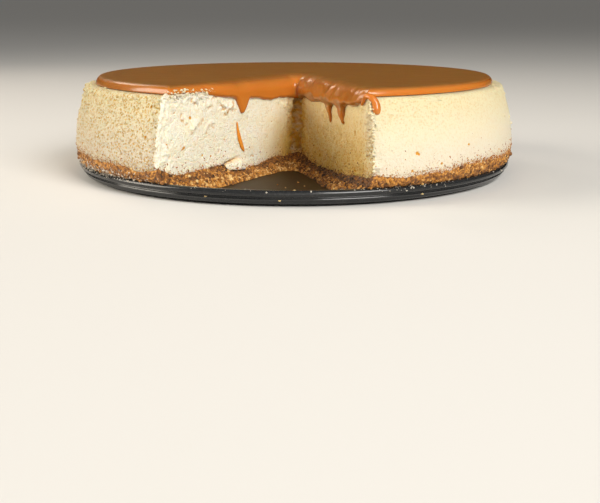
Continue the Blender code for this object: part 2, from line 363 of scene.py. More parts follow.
@dataclass
class CakePlan:
    """Outline of the cake seen from above: an arc and two upright cuts.

    The two cuts meet at the apex.  A ring of points follows the right cut
    outwards, the wall round the back, the left cut inwards and the apex.
    """

    apex: tuple[float, float] = (2.0, 0.0)
    left_cut_deg: float = -32.5
    right_cut_deg: float = 17.5
    reference: float = 115.0
    cut_steps: int = 190
    apex_steps: int = 14
    left_step: float = 0.65
    right_step: float = 0.7
    back_step: float = 2.4
    front_reach_deg: float = 95.0
    # A ring inside the cake that closes a piece out of sight.
    hidden_radius: float = 106.0
    hidden_inset: float = -8.0
    hidden_fillet: float = 10.0

    def __post_init__(self) -> None:
        """Works out the directions of the cuts and the stations of a ring."""
        self.start = np.array(self.apex)
        self.along: dict[Side, Array] = {}
        self.normal: dict[Side, Array] = {}
        for side, angle in ((Side.LEFT_CUT, self.left_cut_deg),
                            (Side.RIGHT_CUT, self.right_cut_deg)):
            corner = on_circle(math.radians(angle), self.reference)
            along = (corner - self.start) / np.linalg.norm(corner - self.start)
            turn = 1.0 if side is Side.LEFT_CUT else -1.0
            self.along[side] = along
            self.normal[side] = turn * np.array([-along[1], along[0]])
        middle = self.along[Side.LEFT_CUT] + self.along[Side.RIGHT_CUT]
        self.bisector = middle / np.linalg.norm(middle)
        cosine = float(self.along[Side.LEFT_CUT] @ self.along[Side.RIGHT_CUT])
        self.half_opening = math.acos(cosine) / 2.0
        self._make_stations()

    def _make_stations(self) -> None:
        """Spreads stations: close where the camera looks, wide at the back."""
        span = 360.0 - (self.right_cut_deg - self.left_cut_deg)
        degrees = 180.0 / (math.pi * self.reference)
        runs = [0.0]
        while runs[-1] < span:
            from_front = runs[-1] + self.right_cut_deg
            step = self.back_step
            if from_front < self.front_reach_deg:
                step = self.right_step
            if from_front > 360.0 - self.front_reach_deg:
                step = self.left_step
            runs.append(runs[-1] + step * degrees)
        wall = np.array(runs[1:-1]) / runs[-1]
        cut = np.linspace(0.0, 1.0, self.cut_steps)
        apex = np.linspace(0.0, 1.0, self.apex_steps + 1)[1:-1]
        self.side = np.concatenate([
            np.full(len(cut), Side.RIGHT_CUT.value),
            np.full(len(wall), Side.OUTER_WALL.value),
            np.full(len(cut), Side.LEFT_CUT.value),
            np.full(len(apex), Side.APEX.value)])
        self.run = np.concatenate([cut, wall, cut[::-1], apex])
        self.theta = np.radians(self.right_cut_deg + self.run * span)
        self.theta[self.on(Side.RIGHT_CUT)] = math.radians(self.right_cut_deg)
        self.theta[self.on(Side.LEFT_CUT)] = math.radians(self.left_cut_deg + 360.0)
        self.count = len(self.run)

    def on(self, side: Side) -> Array:
        """Mask of the stations on one side."""
        return self.side == side.value

    @property
    def on_cuts(self) -> Array:
        """Mask of the stations on the cuts and at the apex."""
        return ~self.on(Side.OUTER_WALL)

    @property
    def degrees(self) -> Array:
        """Angle of each station, -180 to 180."""
        return (np.degrees(self.theta) + 180.0) % 360.0 - 180.0

    def length(self, side: Side, radius: float, base: float = 0.0) -> float:
        """Distance along a cut from the apex to a circle.

        Args:
            side: The cut.
            radius: Radius of the circle in mm.
            base: How far the cut is moved into the open wedge.

        Returns:
            The distance in mm.
        """
        start = self.start + self.normal[side] * base
        half = float(start @ self.along[side])
        return -half + math.sqrt(half * half - float(start @ start) + radius * radius)

    def ring(self, radius: float, base: float = 0.0,
             fillet: float = 2.4) -> tuple[Array, Array, Array]:
        """Places and outward normals of one ring.

        Args:
            radius: Radius of the arc in mm.
            base: How far both cuts are moved into the open wedge.
            fillet: Radius of the round at the apex.

        Returns:
            Places (n, 2), normals (n, 2) and distances along the cut (n,).
        """
        places = np.zeros((self.count, 2))
        normals = np.zeros((self.count, 2))
        distance = np.zeros(self.count)
        inset = (base + fillet) / math.tan(self.half_opening)
        corner = {}
        for side in (Side.RIGHT_CUT, Side.LEFT_CUT):
            mask = self.on(side)
            reach = self.length(side, radius, base)
            s = inset + (reach - inset) * self.run[mask]
            moved = self.start + self.normal[side] * base
            places[mask] = moved + s[:, None] * self.along[side]
            normals[mask] = self.normal[side]
            distance[mask] = s
            corner[side] = moved + reach * self.along[side]
        first = math.atan2(corner[Side.RIGHT_CUT][0], -corner[Side.RIGHT_CUT][1])
        last = math.atan2(corner[Side.LEFT_CUT][0], -corner[Side.LEFT_CUT][1])
        wall = self.on(Side.OUTER_WALL)
        angle = first + (last + 2.0 * math.pi - first) * self.run[wall]
        places[wall] = on_circle(angle, radius)
        normals[wall] = on_circle(angle, 1.0)
        distance[wall] = radius
        apex = self.on(Side.APEX)
        centre = self.start + self.bisector * (base + fillet) / math.sin(self.half_opening)
        turn = (1.0 - 2.0 * self.run[apex]) * (math.pi / 2.0 - self.half_opening)
        bx, by = self.bisector
        facing = np.stack([bx * np.cos(turn) - by * np.sin(turn),
                           bx * np.sin(turn) + by * np.cos(turn)], axis=-1)
        places[apex] = centre - facing * fillet
        normals[apex] = facing
        distance[apex] = inset * np.abs(1.0 - 2.0 * self.run[apex])
        return places, normals, distance

    def hidden_ring(self, height: float) -> Array:
        """Points of the ring that closes a piece inside the cake, at one height."""
        inner, _, _ = self.ring(self.hidden_radius, self.hidden_inset, self.hidden_fillet)
        return np.column_stack([inner, np.full(self.count, height)])


@dataclass
class CrustLine:
    """The line where crust and filling meet, as (mm along the cut, height)."""

    left_cut: tuple[tuple[float, float], ...] = (
        (0, 8.0), (15, 8.2), (23, 9.0), (30, 8.0), (36, 6.8), (45, 6.3), (55, 6.6),
        (63, 7.4), (67, 10.4), (77, 10.5), (88, 10.2), (98, 9.8), (103, 9.9),
        (107, 11.0), (111, 13.0), (115, 14.8))
    right_cut: tuple[tuple[float, float], ...] = (
        (0, 8.2), (12, 8.4), (22, 6.9), (35, 6.5), (48, 6.9), (60, 7.4), (74, 8.4),
        (85, 9.3), (96, 10.4), (106, 11.5), (112, 12.6), (115, 13.8))
    wall: tuple[tuple[float, float], ...] = (
        (-180, 13.4), (-120, 13.9), (-90, 13.4), (-75, 14.0), (-59, 14.5), (-44, 14.3),
        (-37, 13.0), (-34.6, 13.6), (-32.5, 14.8), (17.5, 13.8), (20, 13.4), (24, 12.0),
        (30, 12.9), (37, 13.0), (44, 14.6), (48, 14.4), (55, 14.2), (65, 13.9),
        (90, 13.3), (130, 14.0), (180, 13.4))
    ripple_height: float = 0.55
    ripple: Grain = Grain(3.2, 71)

    def heights(self, plan: CakePlan, distance: Array) -> Array:
        """Height of the line at each station of a ring.

        Args:
            plan: Outline that the stations belong to.
            distance: Distance of each station along its cut.

        Returns:
            Heights in mm.
        """
        result = np.interp(plan.degrees, *np.array(self.wall).T)
        right = plan.on(Side.RIGHT_CUT)
        left = plan.on(Side.LEFT_CUT)
        result[right] = np.interp(distance[right], *np.array(self.right_cut).T)
        result[left] = np.interp(distance[left], *np.array(self.left_cut).T)
        result[plan.on(Side.APEX)] = self.left_cut[0][1]
        # Each side reads its own slice of the noise.
        places = np.stack([distance, np.degrees(plan.theta) * 2.0, plan.side * 40.0], axis=-1)
        return result + self.ripple_height * self.ripple.at(places)


# Finishes.


@dataclass(frozen=True)
class BakedCurdFinish:
    """Baked cream-cheese curd: a matt, faintly moist custard that light sinks into.

    The baked outer wall has a yellower skin with pin-holes, dense on one side; the
    cuts show paler torn curd.
    """

    name: str = "baked_curd"
    cut: str = "fcfae8"
    # Warm tone that the random mottle reaches, also used for the painted shade of the cuts.
    cut_mottle_and_shade: str = "f3cc70"
    skin: str = "ebdfb6"
    skin_low: str = "e6dcc6"
    # Amber of the holes, spots and pits: in the pits it is partly painted shade, and under the
    # lifted flakes it is painted shadow.
    amber: str = "d69a34"
    # Amber that darkens pin-holes and the grain's hollows: painted shade.
    hollow_shade_amber: str = "f2cc7c"
    shadow: str = "f2b43c"
    # Real pores are under 0.5 mm; pin-holes and grain are drawn coarser so that they show.
    pinhole_mm: float = 1.4
    grain_mm: float = 1.05
    mottle_mm: float = 7.0
    relief_mm: float = 0.9
    # The wall's skin turns to its paler tint between these two heights.
    skin_top: float = 44.0
    skin_foot: float = 20.0

    def _colour(self, tree: bpy.types.NodeTree, where: Any, holes: Any) -> Any:
        """Mixes the creams of cut and skin, the painted shades, and the amber of the pits.

        Args:
            tree: The material's tree.
            where: Object coordinates.
            holes: How much painted shade lies in the pin-holes and the grain's hollows.

        Returns:
            The colour socket.
        """
        wall = add_node(tree, "ShaderNodeAttribute", attribute_name="wall")
        pit_and_shadow = add_node(tree, "ShaderNodeAttribute", attribute_name="pit_and_shadow")
        shade = add_node(tree, "ShaderNodeAttribute", attribute_name="painted_warm_shade")
        height = add_node(tree, "ShaderNodeSeparateXYZ", {}, {"Vector": where})
        low = add_node(tree, "ShaderNodeMapRange",
                       {"From Min": self.skin_top * MM, "From Max": self.skin_foot * MM},
                       {"Value": height.outputs["Z"]})
        skin = add_node(tree, "ShaderNodeMix", {6: srgb(self.skin), 7: srgb(self.skin_low)},
                        {0: low.outputs["Result"]}, data_type="RGBA")
        mottle = add_node(tree, "ShaderNodeTexNoise",
                          {"Scale": 1.0 / (self.mottle_mm * MM), "Detail": 5.0,
                           "Roughness": 0.65}, {"Vector": where})
        soft = add_node(tree, "ShaderNodeMapRange",
                        {"From Min": 0.38, "From Max": 0.75, "To Max": 0.2},
                        {"Value": mottle.outputs["Fac"]})
        # Painted shade: the cuts lean to the warm tone by the painted warm shade, beside the
        # mottle.
        part = add_node(tree, "ShaderNodeMath", {}, {0: soft.outputs["Result"],
                                                     1: shade.outputs["Fac"]},
                        operation="ADD", use_clamp=True)
        torn = add_node(tree, "ShaderNodeMix", {6: srgb(self.cut), 7: srgb(self.cut_mottle_and_shade)},
                        {0: part.outputs[0]}, data_type="RGBA")
        base = add_node(tree, "ShaderNodeMix", {},
                        {0: wall.outputs["Fac"], 6: torn.outputs[2], 7: skin.outputs[2]},
                        data_type="RGBA")
        # Painted shade: the strip where the cuts meet, the crack and the inner cuts darken to
        # shadow.
        painted_crevice_shade = add_node(tree, "ShaderNodeAttribute", attribute_name="painted_crevice_shade")
        shaded = add_node(tree, "ShaderNodeMix", {7: srgb(self.shadow)},
                          {0: painted_crevice_shade.outputs["Fac"], 6: base.outputs[2]}, data_type="RGBA")
        hollow_shaded = add_node(tree, "ShaderNodeMix", {7: srgb(self.hollow_shade_amber)},
                           {0: holes, 6: shaded.outputs[2]}, data_type="RGBA",
                           blend_type="MULTIPLY")
        # A hole's rim is drawn from its distance, so it stays sharp on any mesh.
        hole = add_node(tree, "ShaderNodeAttribute", attribute_name="hole")
        rim = add_node(tree, "ShaderNodeMapRange", {"From Min": 0.46, "From Max": 0.54},
                       {"Value": hole.outputs["Fac"]})
        # The pit mark also holds the painted shadow under the lifted flakes.
        both = add_node(tree, "ShaderNodeMath", {}, {0: pit_and_shadow.outputs["Fac"],
                                                     1: rim.outputs["Result"]},
                        operation="MAXIMUM")
        amber = add_node(tree, "ShaderNodeMix", {7: srgb(self.amber)},
                         {0: both.outputs[0], 6: hollow_shaded.outputs[2]}, data_type="RGBA")
        return amber.outputs[2]

    def build(self) -> bpy.types.Material:
        """Makes and returns the node material."""
        material, tree, shader = new_material(self.name, {
            "IOR": 1.42, "Specular IOR Level": 0.35, "Subsurface Weight": 0.18,
            "Subsurface Radius": (1.0, 0.55, 0.25), "Subsurface Scale": 2.5 * MM})
        where = add_node(tree, "ShaderNodeTexCoord").outputs["Object"]
        pock_and_hollow_shade = add_node(tree, "ShaderNodeAttribute", attribute_name="pock_and_hollow_shade")
        cells = add_node(tree, "ShaderNodeTexVoronoi",
                         {"Scale": 1.0 / (self.pinhole_mm * MM), "Randomness": 1.0},
                         {"Vector": where})
        depth = add_node(tree, "ShaderNodeMapRange",
                         {"From Min": 0.42, "From Max": 0.2},
                         {"Value": cells.outputs["Distance"]})
        grain = add_node(tree, "ShaderNodeTexNoise",
                         {"Scale": 1.0 / (self.grain_mm * MM), "Detail": 4.0,
                          "Roughness": 0.8}, {"Vector": where})
        hollow = add_node(tree, "ShaderNodeMapRange",
                          {"From Min": 0.475, "From Max": 0.38},
                          {"Value": grain.outputs["Fac"]})
        either = add_node(tree, "ShaderNodeMath", {}, {0: depth.outputs["Result"],
                                                       1: hollow.outputs["Result"]},
                          operation="MAXIMUM")
        holes = add_node(tree, "ShaderNodeMath", {}, {0: depth.outputs["Result"],
                                                      1: pock_and_hollow_shade.outputs["Fac"]},
                         operation="MULTIPLY")
        # Painted shade: pin-holes and the grain's hollows darken in amber, as far as the curd is
        # pocked.
        hollow_shade_share = add_node(tree, "ShaderNodeMath", {}, {0: either.outputs[0],
                                                     1: pock_and_hollow_shade.outputs["Fac"]},
                        operation="MULTIPLY")
        sunk = add_node(tree, "ShaderNodeMath", {1: 0.9}, {0: holes.outputs[0]},
                        operation="MULTIPLY")
        tree.links.new(self._colour(tree, where, hollow_shade_share.outputs[0]),
                       shader.inputs["Base Color"])
        rough = add_node(tree, "ShaderNodeMapRange",
                         {"From Max": 1.0, "To Min": 0.8, "To Max": 1.55},
                         {"Value": pock_and_hollow_shade.outputs["Fac"]})
        lumps = add_node(tree, "ShaderNodeMath", {}, {0: grain.outputs["Fac"],
                                                      1: rough.outputs["Result"]},
                         operation="MULTIPLY")
        relief = add_node(tree, "ShaderNodeMath", {}, {0: lumps.outputs[0],
                                                       1: sunk.outputs[0]},
                          operation="SUBTRACT")
        bumped = add_node(tree, "ShaderNodeBump",
                          {"Strength": 1.0, "Distance": self.relief_mm * MM},
                          {"Height": relief.outputs[0]})
        tree.links.new(bumped.outputs["Normal"], shader.inputs["Normal"])
        painted_crevice_shade = add_node(tree, "ShaderNodeAttribute", attribute_name="painted_crevice_shade")
        matt = add_node(tree, "ShaderNodeMapRange", {"To Min": 0.55, "To Max": 1.0},
                        {"Value": painted_crevice_shade.outputs["Fac"]})
        tree.links.new(matt.outputs["Result"], shader.inputs["Roughness"])
        return material


@dataclass(frozen=True)
class BiscuitCrumbFinish:
    """Crushed biscuit bound with butter and baked: dry, matt grains of many browns."""

    name: str = "biscuit_crumb"
    dark: str = "35210f"
    brown: str = "8a582a"
    golden: str = "d69238"
    pale: str = "f6d896"
    # Real crumb is mostly under 0.5 mm; drawn coarser so that it shows.
    grain_mm: float = 1.1
    relief_mm: float = 1.0

    def build(self) -> bpy.types.Material:
        """Makes and returns the node material."""
        material, tree, shader = new_material(
            self.name, {"Roughness": 0.55, "Specular IOR Level": 0.5})
        where = add_node(tree, "ShaderNodeTexCoord").outputs["Object"]
        tone = add_node(tree, "ShaderNodeAttribute", attribute_name="tone")
        speck = add_node(tree, "ShaderNodeTexNoise",
                         {"Scale": 1.0 / (self.grain_mm * MM), "Detail": 4.0,
                          "Roughness": 0.75}, {"Vector": where})
        mixed = add_node(tree, "ShaderNodeMath", {1: -0.5},
                         {0: speck.outputs["Fac"]}, operation="ADD")
        total = add_node(tree, "ShaderNodeMath", {},
                         {0: mixed.outputs[0], 1: tone.outputs["Fac"]}, operation="ADD")
        ramp = add_node(tree, "ShaderNodeValToRGB", {}, {"Fac": total.outputs[0]})
        stops = ((0.0, self.dark), (0.35, self.brown), (0.68, self.golden), (1.0, self.pale))
        ramp.color_ramp.elements[0].color = srgb(stops[0][1])
        ramp.color_ramp.elements[1].color = srgb(stops[-1][1])
        for place, colour in stops[1:-1]:
            ramp.color_ramp.elements.new(place).color = srgb(colour)
        tree.links.new(ramp.outputs["Color"], shader.inputs["Base Color"])
        relief = add_node(tree, "ShaderNodeBump",
                          {"Strength": 1.0, "Distance": self.relief_mm * MM},
                          {"Height": speck.outputs["Fac"]})
        tree.links.new(relief.outputs["Normal"], shader.inputs["Normal"])
        return material


@dataclass(frozen=True)
class SetCaramelFinish:
    """Cooked sugar and cream, poured and set: glossy and translucent where it runs.

    The level top has dried to a duller, browner skin with faint combed streaks.
    """

    name: str = "set_caramel"
    amber: str = "bf7026"
    skin: str = "805526"
    streak_mm: float = 9.0
    relief_mm: float = 0.5

    def build(self) -> bpy.types.Material:
        """Makes and returns the node material."""
        material, tree, shader = new_material(self.name, {
            "Coat Roughness": 0.13, "IOR": 1.47, "Specular IOR Level": 0.13,
            "Subsurface Weight": 0.35, "Subsurface Radius": (1.0, 0.35, 0.08),
            "Subsurface Scale": 3.0 * MM})
        where = add_node(tree, "ShaderNodeTexCoord").outputs["Object"]
        dried_skin_and_shade = add_node(tree, "ShaderNodeAttribute", attribute_name="dried_skin_and_shade")
        stretched = add_node(tree, "ShaderNodeMapping",
                             {"Scale": (0.35, 1.0, 1.0), "Rotation": (0.0, 0.0, 0.2)},
                             {"Vector": where})
        streaks = add_node(tree, "ShaderNodeTexNoise",
                           {"Scale": 1.0 / (self.streak_mm * MM), "Detail": 4.0,
                            "Distortion": 2.2}, {"Vector": stretched.outputs["Vector"]})
        shade = add_node(tree, "ShaderNodeMapRange",
                         {"From Min": 0.35, "From Max": 0.65, "To Min": 0.89, "To Max": 1.09},
                         {"Value": streaks.outputs["Fac"]})
        top = add_node(tree, "ShaderNodeMix", {0: 1.0, 6: srgb(self.skin)},
                       {7: shade.outputs["Result"]}, data_type="RGBA",
                       blend_type="MULTIPLY")
        # The mark blends the amber to the dried skin's brown; on the right-hand sheet its half
        # share is painted shade.
        colour = add_node(tree, "ShaderNodeMix", {6: srgb(self.amber)},
                          {0: dried_skin_and_shade.outputs["Fac"], 7: top.outputs[2]}, data_type="RGBA")
        tree.links.new(colour.outputs[2], shader.inputs["Base Color"])
        gloss = add_node(tree, "ShaderNodeMapRange",
                         {"From Min": 0.3, "To Min": 0.24, "To Max": 0.42},
                         {"Value": dried_skin_and_shade.outputs["Fac"]})
        tree.links.new(gloss.outputs["Result"], shader.inputs["Roughness"])
        wet = add_node(tree, "ShaderNodeMapRange",
                       {"From Min": 0.4, "To Min": 0.62, "To Max": 0.0},
                       {"Value": dried_skin_and_shade.outputs["Fac"]})
        tree.links.new(wet.outputs["Result"], shader.inputs["Coat Weight"])
        relief = add_node(tree, "ShaderNodeBump",
                          {"Strength": 0.55, "Distance": self.relief_mm * MM},
                          {"Height": streaks.outputs["Fac"]})
        tree.links.new(relief.outputs["Normal"], shader.inputs["Normal"])
        return material


@dataclass(frozen=True)
class CoatedSteelFinish:
    """Pressed sheet steel under a dark non-stick coat: satin, with a fine speckle."""

    name: str = "coated_steel"
    coat: str = "1f2021"
    speck: str = "2c2d2e"
    # Brown of the tin's floor: partly a butter film, partly a painted reflection of the cake.
    film_and_reflection: str = "2e2006"
    # The coat's own speckle is about 0.2 mm; drawn coarser so that it shows.
    speck_mm: float = 0.9
    relief_mm: float = 0.08

    def build(self) -> bpy.types.Material:
        """Makes and returns the node material."""
        material, tree, shader = new_material(
            self.name, {"IOR": 1.5, "Specular IOR Level": 0.42})
        where = add_node(tree, "ShaderNodeTexCoord").outputs["Object"]
        grain = add_node(tree, "ShaderNodeTexNoise",
                         {"Scale": 1.0 / (self.speck_mm * MM), "Detail": 2.0},
                         {"Vector": where})
        spots = add_node(tree, "ShaderNodeMapRange",
                         {"From Min": 0.5, "From Max": 0.75},
                         {"Value": grain.outputs["Fac"]})
        colour = add_node(tree, "ShaderNodeMix", {6: srgb(self.coat), 7: srgb(self.speck)},
                          {0: spots.outputs["Result"]}, data_type="RGBA")
        film_and_reflection_share = add_node(tree, "ShaderNodeAttribute", attribute_name="film_and_reflection")
        whole = add_node(tree, "ShaderNodeMix", {7: srgb(self.film_and_reflection)},
                         {0: film_and_reflection_share.outputs["Fac"], 6: colour.outputs[2]},
                         data_type="RGBA")
        tree.links.new(whole.outputs[2], shader.inputs["Base Color"])
        sheen = add_node(tree, "ShaderNodeMapRange", {"To Min": 0.16, "To Max": 0.5},
                         {"Value": film_and_reflection_share.outputs["Fac"]})
        tree.links.new(sheen.outputs["Result"], shader.inputs["Roughness"])
        relief = add_node(tree, "ShaderNodeBump",
                          {"Strength": 0.25, "Distance": self.relief_mm * MM},
                          {"Height": grain.outputs["Fac"]})
        tree.links.new(relief.outputs["Normal"], shader.inputs["Normal"])
        return material


@dataclass(frozen=True)
class SyrupDropFinish:
    """Clear sugar syrup that wept from the cake: small beads with a bright glint."""

    name: str = "syrup_drops"
    body: str = "b4ada0"

    def build(self) -> bpy.types.Material:
        """Makes the material."""
        material, _, _ = new_material(
            self.name, {"Base Color": srgb(self.body), "Roughness": 0.12, "IOR": 1.45})
        return material


@dataclass(frozen=True)
class PaleFloorFinish:
    """Plain matt studio floor."""

    name: str = "studio_floor"
    pale: str = "dcdad6"

    def build(self) -> bpy.types.Material:
        """Makes the material."""
        material, _, _ = new_material(
            self.name, {"Base Color": srgb(self.pale), "Roughness": 0.9})
        return material


# The tin.


@dataclass
class TinBase:
    """Shallow dish with a rolled rim and two pressed ridges round its wall."""

    radius: float = 115.0
    floor_top: float = 1.8
    floor_rings: tuple[float, ...] = (80.0, 50.0, 20.0)
    film_inset: float = 5.0
    bead_inset: float = 3.4
    segments: int = 288
    # Section of the rim from the underside round to the floor: inset, height.
    section: tuple[tuple[float, float], ...] = (
        (6.6, 0.0), (6.3, 0.0), (6.1, 0.1), (6.0, 0.4), (6.0, 0.9), (5.8, 1.15),
        (5.0, 1.25), (3.9, 1.3), (3.3, 1.42), (2.9, 1.7), (2.6, 2.2), (2.3, 2.9),
        (1.95, 3.3), (1.5, 3.55), (1.45, 3.7), (1.95, 3.95), (1.9, 4.1), (1.4, 4.25),
        (0.95, 4.5), (0.95, 4.62), (1.35, 4.8), (1.25, 4.92), (0.5, 5.15), (0.1, 5.6),
        (0.0, 6.2),
        (0.1, 6.75), (0.4, 7.3), (0.9, 7.68), (1.5, 7.87), (2.1, 7.9), (2.8, 7.72),
        (3.25, 7.35), (3.6, 6.8), (4.0, 5.8), (4.4, 4.7), (4.9, 3.5), (5.5, 2.5),
        (6.1, 1.98), (6.9, 1.8))

    def build(self) -> bpy.types.Object:
        """Turns the section round the axis and dresses it.

        Returns:
            The base, whose bead takes the syrup drops.
        """
        theta = np.linspace(0.0, 2.0 * math.pi, self.segments, endpoint=False)
        rows = []
        for inset, height in self.section:
            ring = on_circle(theta, self.radius - inset)
            rows.append(np.column_stack([ring, np.full(self.segments, height)]))
        for radius in self.floor_rings:
            ring = on_circle(theta, radius)
            rows.append(np.column_stack([ring, np.full(self.segments, self.floor_top)]))
        points = np.concatenate(rows)
        radii = np.linalg.norm(points[:, :2], axis=1)
        degrees = np.degrees(np.arctan2(points[:, 0], -points[:, 1]))
        # The floor is painted brown, partly a butter film and partly a painted reflection of
        # the cake above it; syrup beads lie on two parts of the rim.
        height = points[:, 2]
        film_and_reflection = (height < 4.0) & (radii < self.radius - self.film_inset) & (height > 1.0)
        bead = smooth(6.0, 7.2, height) * (radii > self.radius - self.bead_inset)
        wet = bead * (0.45 * bump(degrees, 27.0, 19.0) + bump(degrees, -66.0, 36.0) + 0.03)
        made = make_object("springform_base", points, capped_faces(len(rows), self.segments),
                           {"film_and_reflection": film_and_reflection.astype(float), "wet": wet})
        settle(made, CoatedSteelFinish(), "tin_base", "tin_base")
        return made


# The crust.


@dataclass
class CrumbCrust:
    """Crumb crust: a band round the foot of the wall and a bank at each cut."""

    plan: CakePlan
    line: CrustLine
    floor: float = 1.9
    wall_top: float = 13.4
    bank_left: float = 7.6
    bank_right: float = 6.8
    hidden_height: float = 10.0
    slump: Grain = Grain(7.0, 5, 3)
    coarse_crumb: Grain = Grain(1.6, 17)
    fine_crumb: Grain = Grain(1.0, 27)
    # Wall section: radius, height on the wall, share of the height at a cut, bank share.
    section: tuple[tuple[float, float, float, float], ...] = (
        (108.2, 1.9, 0.0, 1.0), (109.1, 2.8, 0.2, 0.9), (110.3, 5.2, 0.45, 0.55),
        (111.2, 7.9, 0.6, 0.4), (114.0, 8.1, 0.68, 0.3), (115.0, 9.4, 0.78, 0.2),
        (115.6, 11.2, 0.9, 0.08), (115.5, 13.4, 1.0, 0.0))
    rows: int = 40

    def _profile(self) -> Array:
        """Reads the section at even steps of its length.

        Returns:
            Radius, height, share of the height at a cut and bank share, for each ring.
        """
        section = np.array(self.section)
        steps = np.hypot(np.diff(section[:, 0]), np.diff(section[:, 1]))
        length = np.concatenate([[0.0], np.cumsum(steps)])
        at = np.linspace(0.0, length[-1], self.rows)
        return np.stack([np.interp(at, length, section[:, k]) for k in range(4)], axis=-1)

    def _stack(self) -> Array:
        """Stacks the closed rings before the crumbs are raised.

        Returns:
            Places in mm, shape (rows, n, 3).
        """
        plan = self.plan
        cuts = plan.on_cuts
        rows = []
        for radius, height, share, bank in self._profile():
            reach = bank * (self.bank_left + self.bank_right) / 2.0
            fillet = 2.6 + 2.4 * bank
            places, normals, s = plan.ring(radius, reach, fillet)
            top = self.line.heights(plan, s)
            z = np.full(plan.count, height)
            if share > 0.75:
                z += (top - self.wall_top) * (share - 0.75) / 0.25
            near = smooth(101.0, 112.0, s)
            own = self.floor + share * (top - self.floor)
            z = np.where(cuts, own + (z - own) * near, z)
            grow = 0.25 * smooth(20.0, 90.0, s)
            spot = np.column_stack([s, np.full(plan.count, 9.0 * bank), plan.side * 50.0])
            more = np.where(cuts, bank * reach * grow
                            + (0.4 + bank) * self.slump.at(spot), 0.0)
            places = places + normals * more[:, None]
            out = np.maximum(1.0, np.linalg.norm(places, axis=1) / radius)
            places = np.where(cuts[:, None], places / out[:, None], places)
            rows.append(np.column_stack([places, z]))
        rows.append(plan.hidden_ring(self.hidden_height))
        return np.stack(rows)

    def _tone(self, share: Array, calm: Array, number: Array, fine_number: Array) -> Array:
        """Tone of each point from dark to pale, one value for each crumb.

        Args:
            share: Share of the section below each ring, shape (rows, 1).
            calm: How far the crumbs are evened out, shape (rows, n).
            number: Number of the coarse crumb at each point.
            fine_number: Number of the fine crumb at each point.

        Returns:
            The tones, shape (rows, n).
        """
        cuts = self.plan.on_cuts[None, :]
        right = self.plan.on(Side.RIGHT_CUT)[None, :]
        # At a cut the pressed band above is darker than the loose bank; the bank at the right
        # cut, which lies in shade, is painted darker still as shade.
        loose = 0.54 - 0.2 * smooth(0.3, 0.55, share) - 0.2 * right
        band = 0.4 + 0.1 * smooth(0.75, 0.95, share)
        spread = np.where(cuts, 1.0, 0.6) * calm
        tone = np.where(cuts, loose, band)
        tone = tone + 0.5 * spread * (number - 0.5).reshape(len(share), -1)
        return tone + 0.45 * (fine_number - 0.5).reshape(len(share), -1)

    def _scatter(self, share: Array) -> Array:
        """Where the loose crumbs fall.

        Args:
            share: Share of the section below each ring, shape (rows, 1).

        Returns:
            Their density between 0 and 1, shape (rows, n).
        """
        cuts = self.plan.on_cuts[None, :]
        onto_wall = np.where(self.plan.degrees < 0.0, 0.16, 0.34)[None, :]
        on_cut = 1.0 - 0.75 * smooth(0.3, 0.55, share)
        scatter = np.where(cuts, on_cut, onto_wall) * (share > 0.05)
        scatter = scatter * (np.arange(len(share))[:, None] < len(share) - 2)
        return np.where(~cuts & (share < 0.6), 0.0, scatter)

    def build(self) -> bpy.types.Object:
        """Raises the crumbs on the rings and dresses the piece.

        Returns:
            The body, which the loose crumbs are scattered on.
        """
        plan = self.plan
        grid = self._stack()
        normal = grid_normals(grid)
        flat = grid.reshape(-1, 3)
        away, number = self.coarse_crumb.cells(flat)
        fine_away, fine_number = self.fine_crumb.cells(flat)
        lump = 0.8 * (0.5 - away / self.coarse_crumb.size) + 0.5 * (0.5 - fine_away)
        lump = lump.reshape(len(grid), -1)
        share = np.linspace(0.0, 1.0, len(grid))[:, None]
        cuts = plan.on_cuts[None, :]
        shown = np.ones((len(grid), 1))
        shown[:2] = 0.0
        shown[-2:] = 0.0
        # At a cut the pressed band above is smoother than the loose bank.
        calm = 1.0 - 0.35 * smooth(0.3, 0.55, share) * cuts
        grid = grid + normal * (lump * (shown * calm))[:, :, None]
        tone = self._tone(share, calm, number, fine_number)
        # Floury residue lies along the foot of the wall on the left.
        dust = bump(plan.degrees, -64.0, 38.0)[None, :] * ~cuts
        dust = dust * bump(share, 0.55, 0.4) * (share < 0.93)
        made = make_object("crumb_crust", grid.reshape(-1, 3),
                           capped_faces(len(grid), plan.count),
                           {"tone": tone.ravel(), "scatter": self._scatter(share).ravel(),
                            "dust": dust.ravel()})
        settle(made, BiscuitCrumbFinish(), "crust", "crust")
        return made


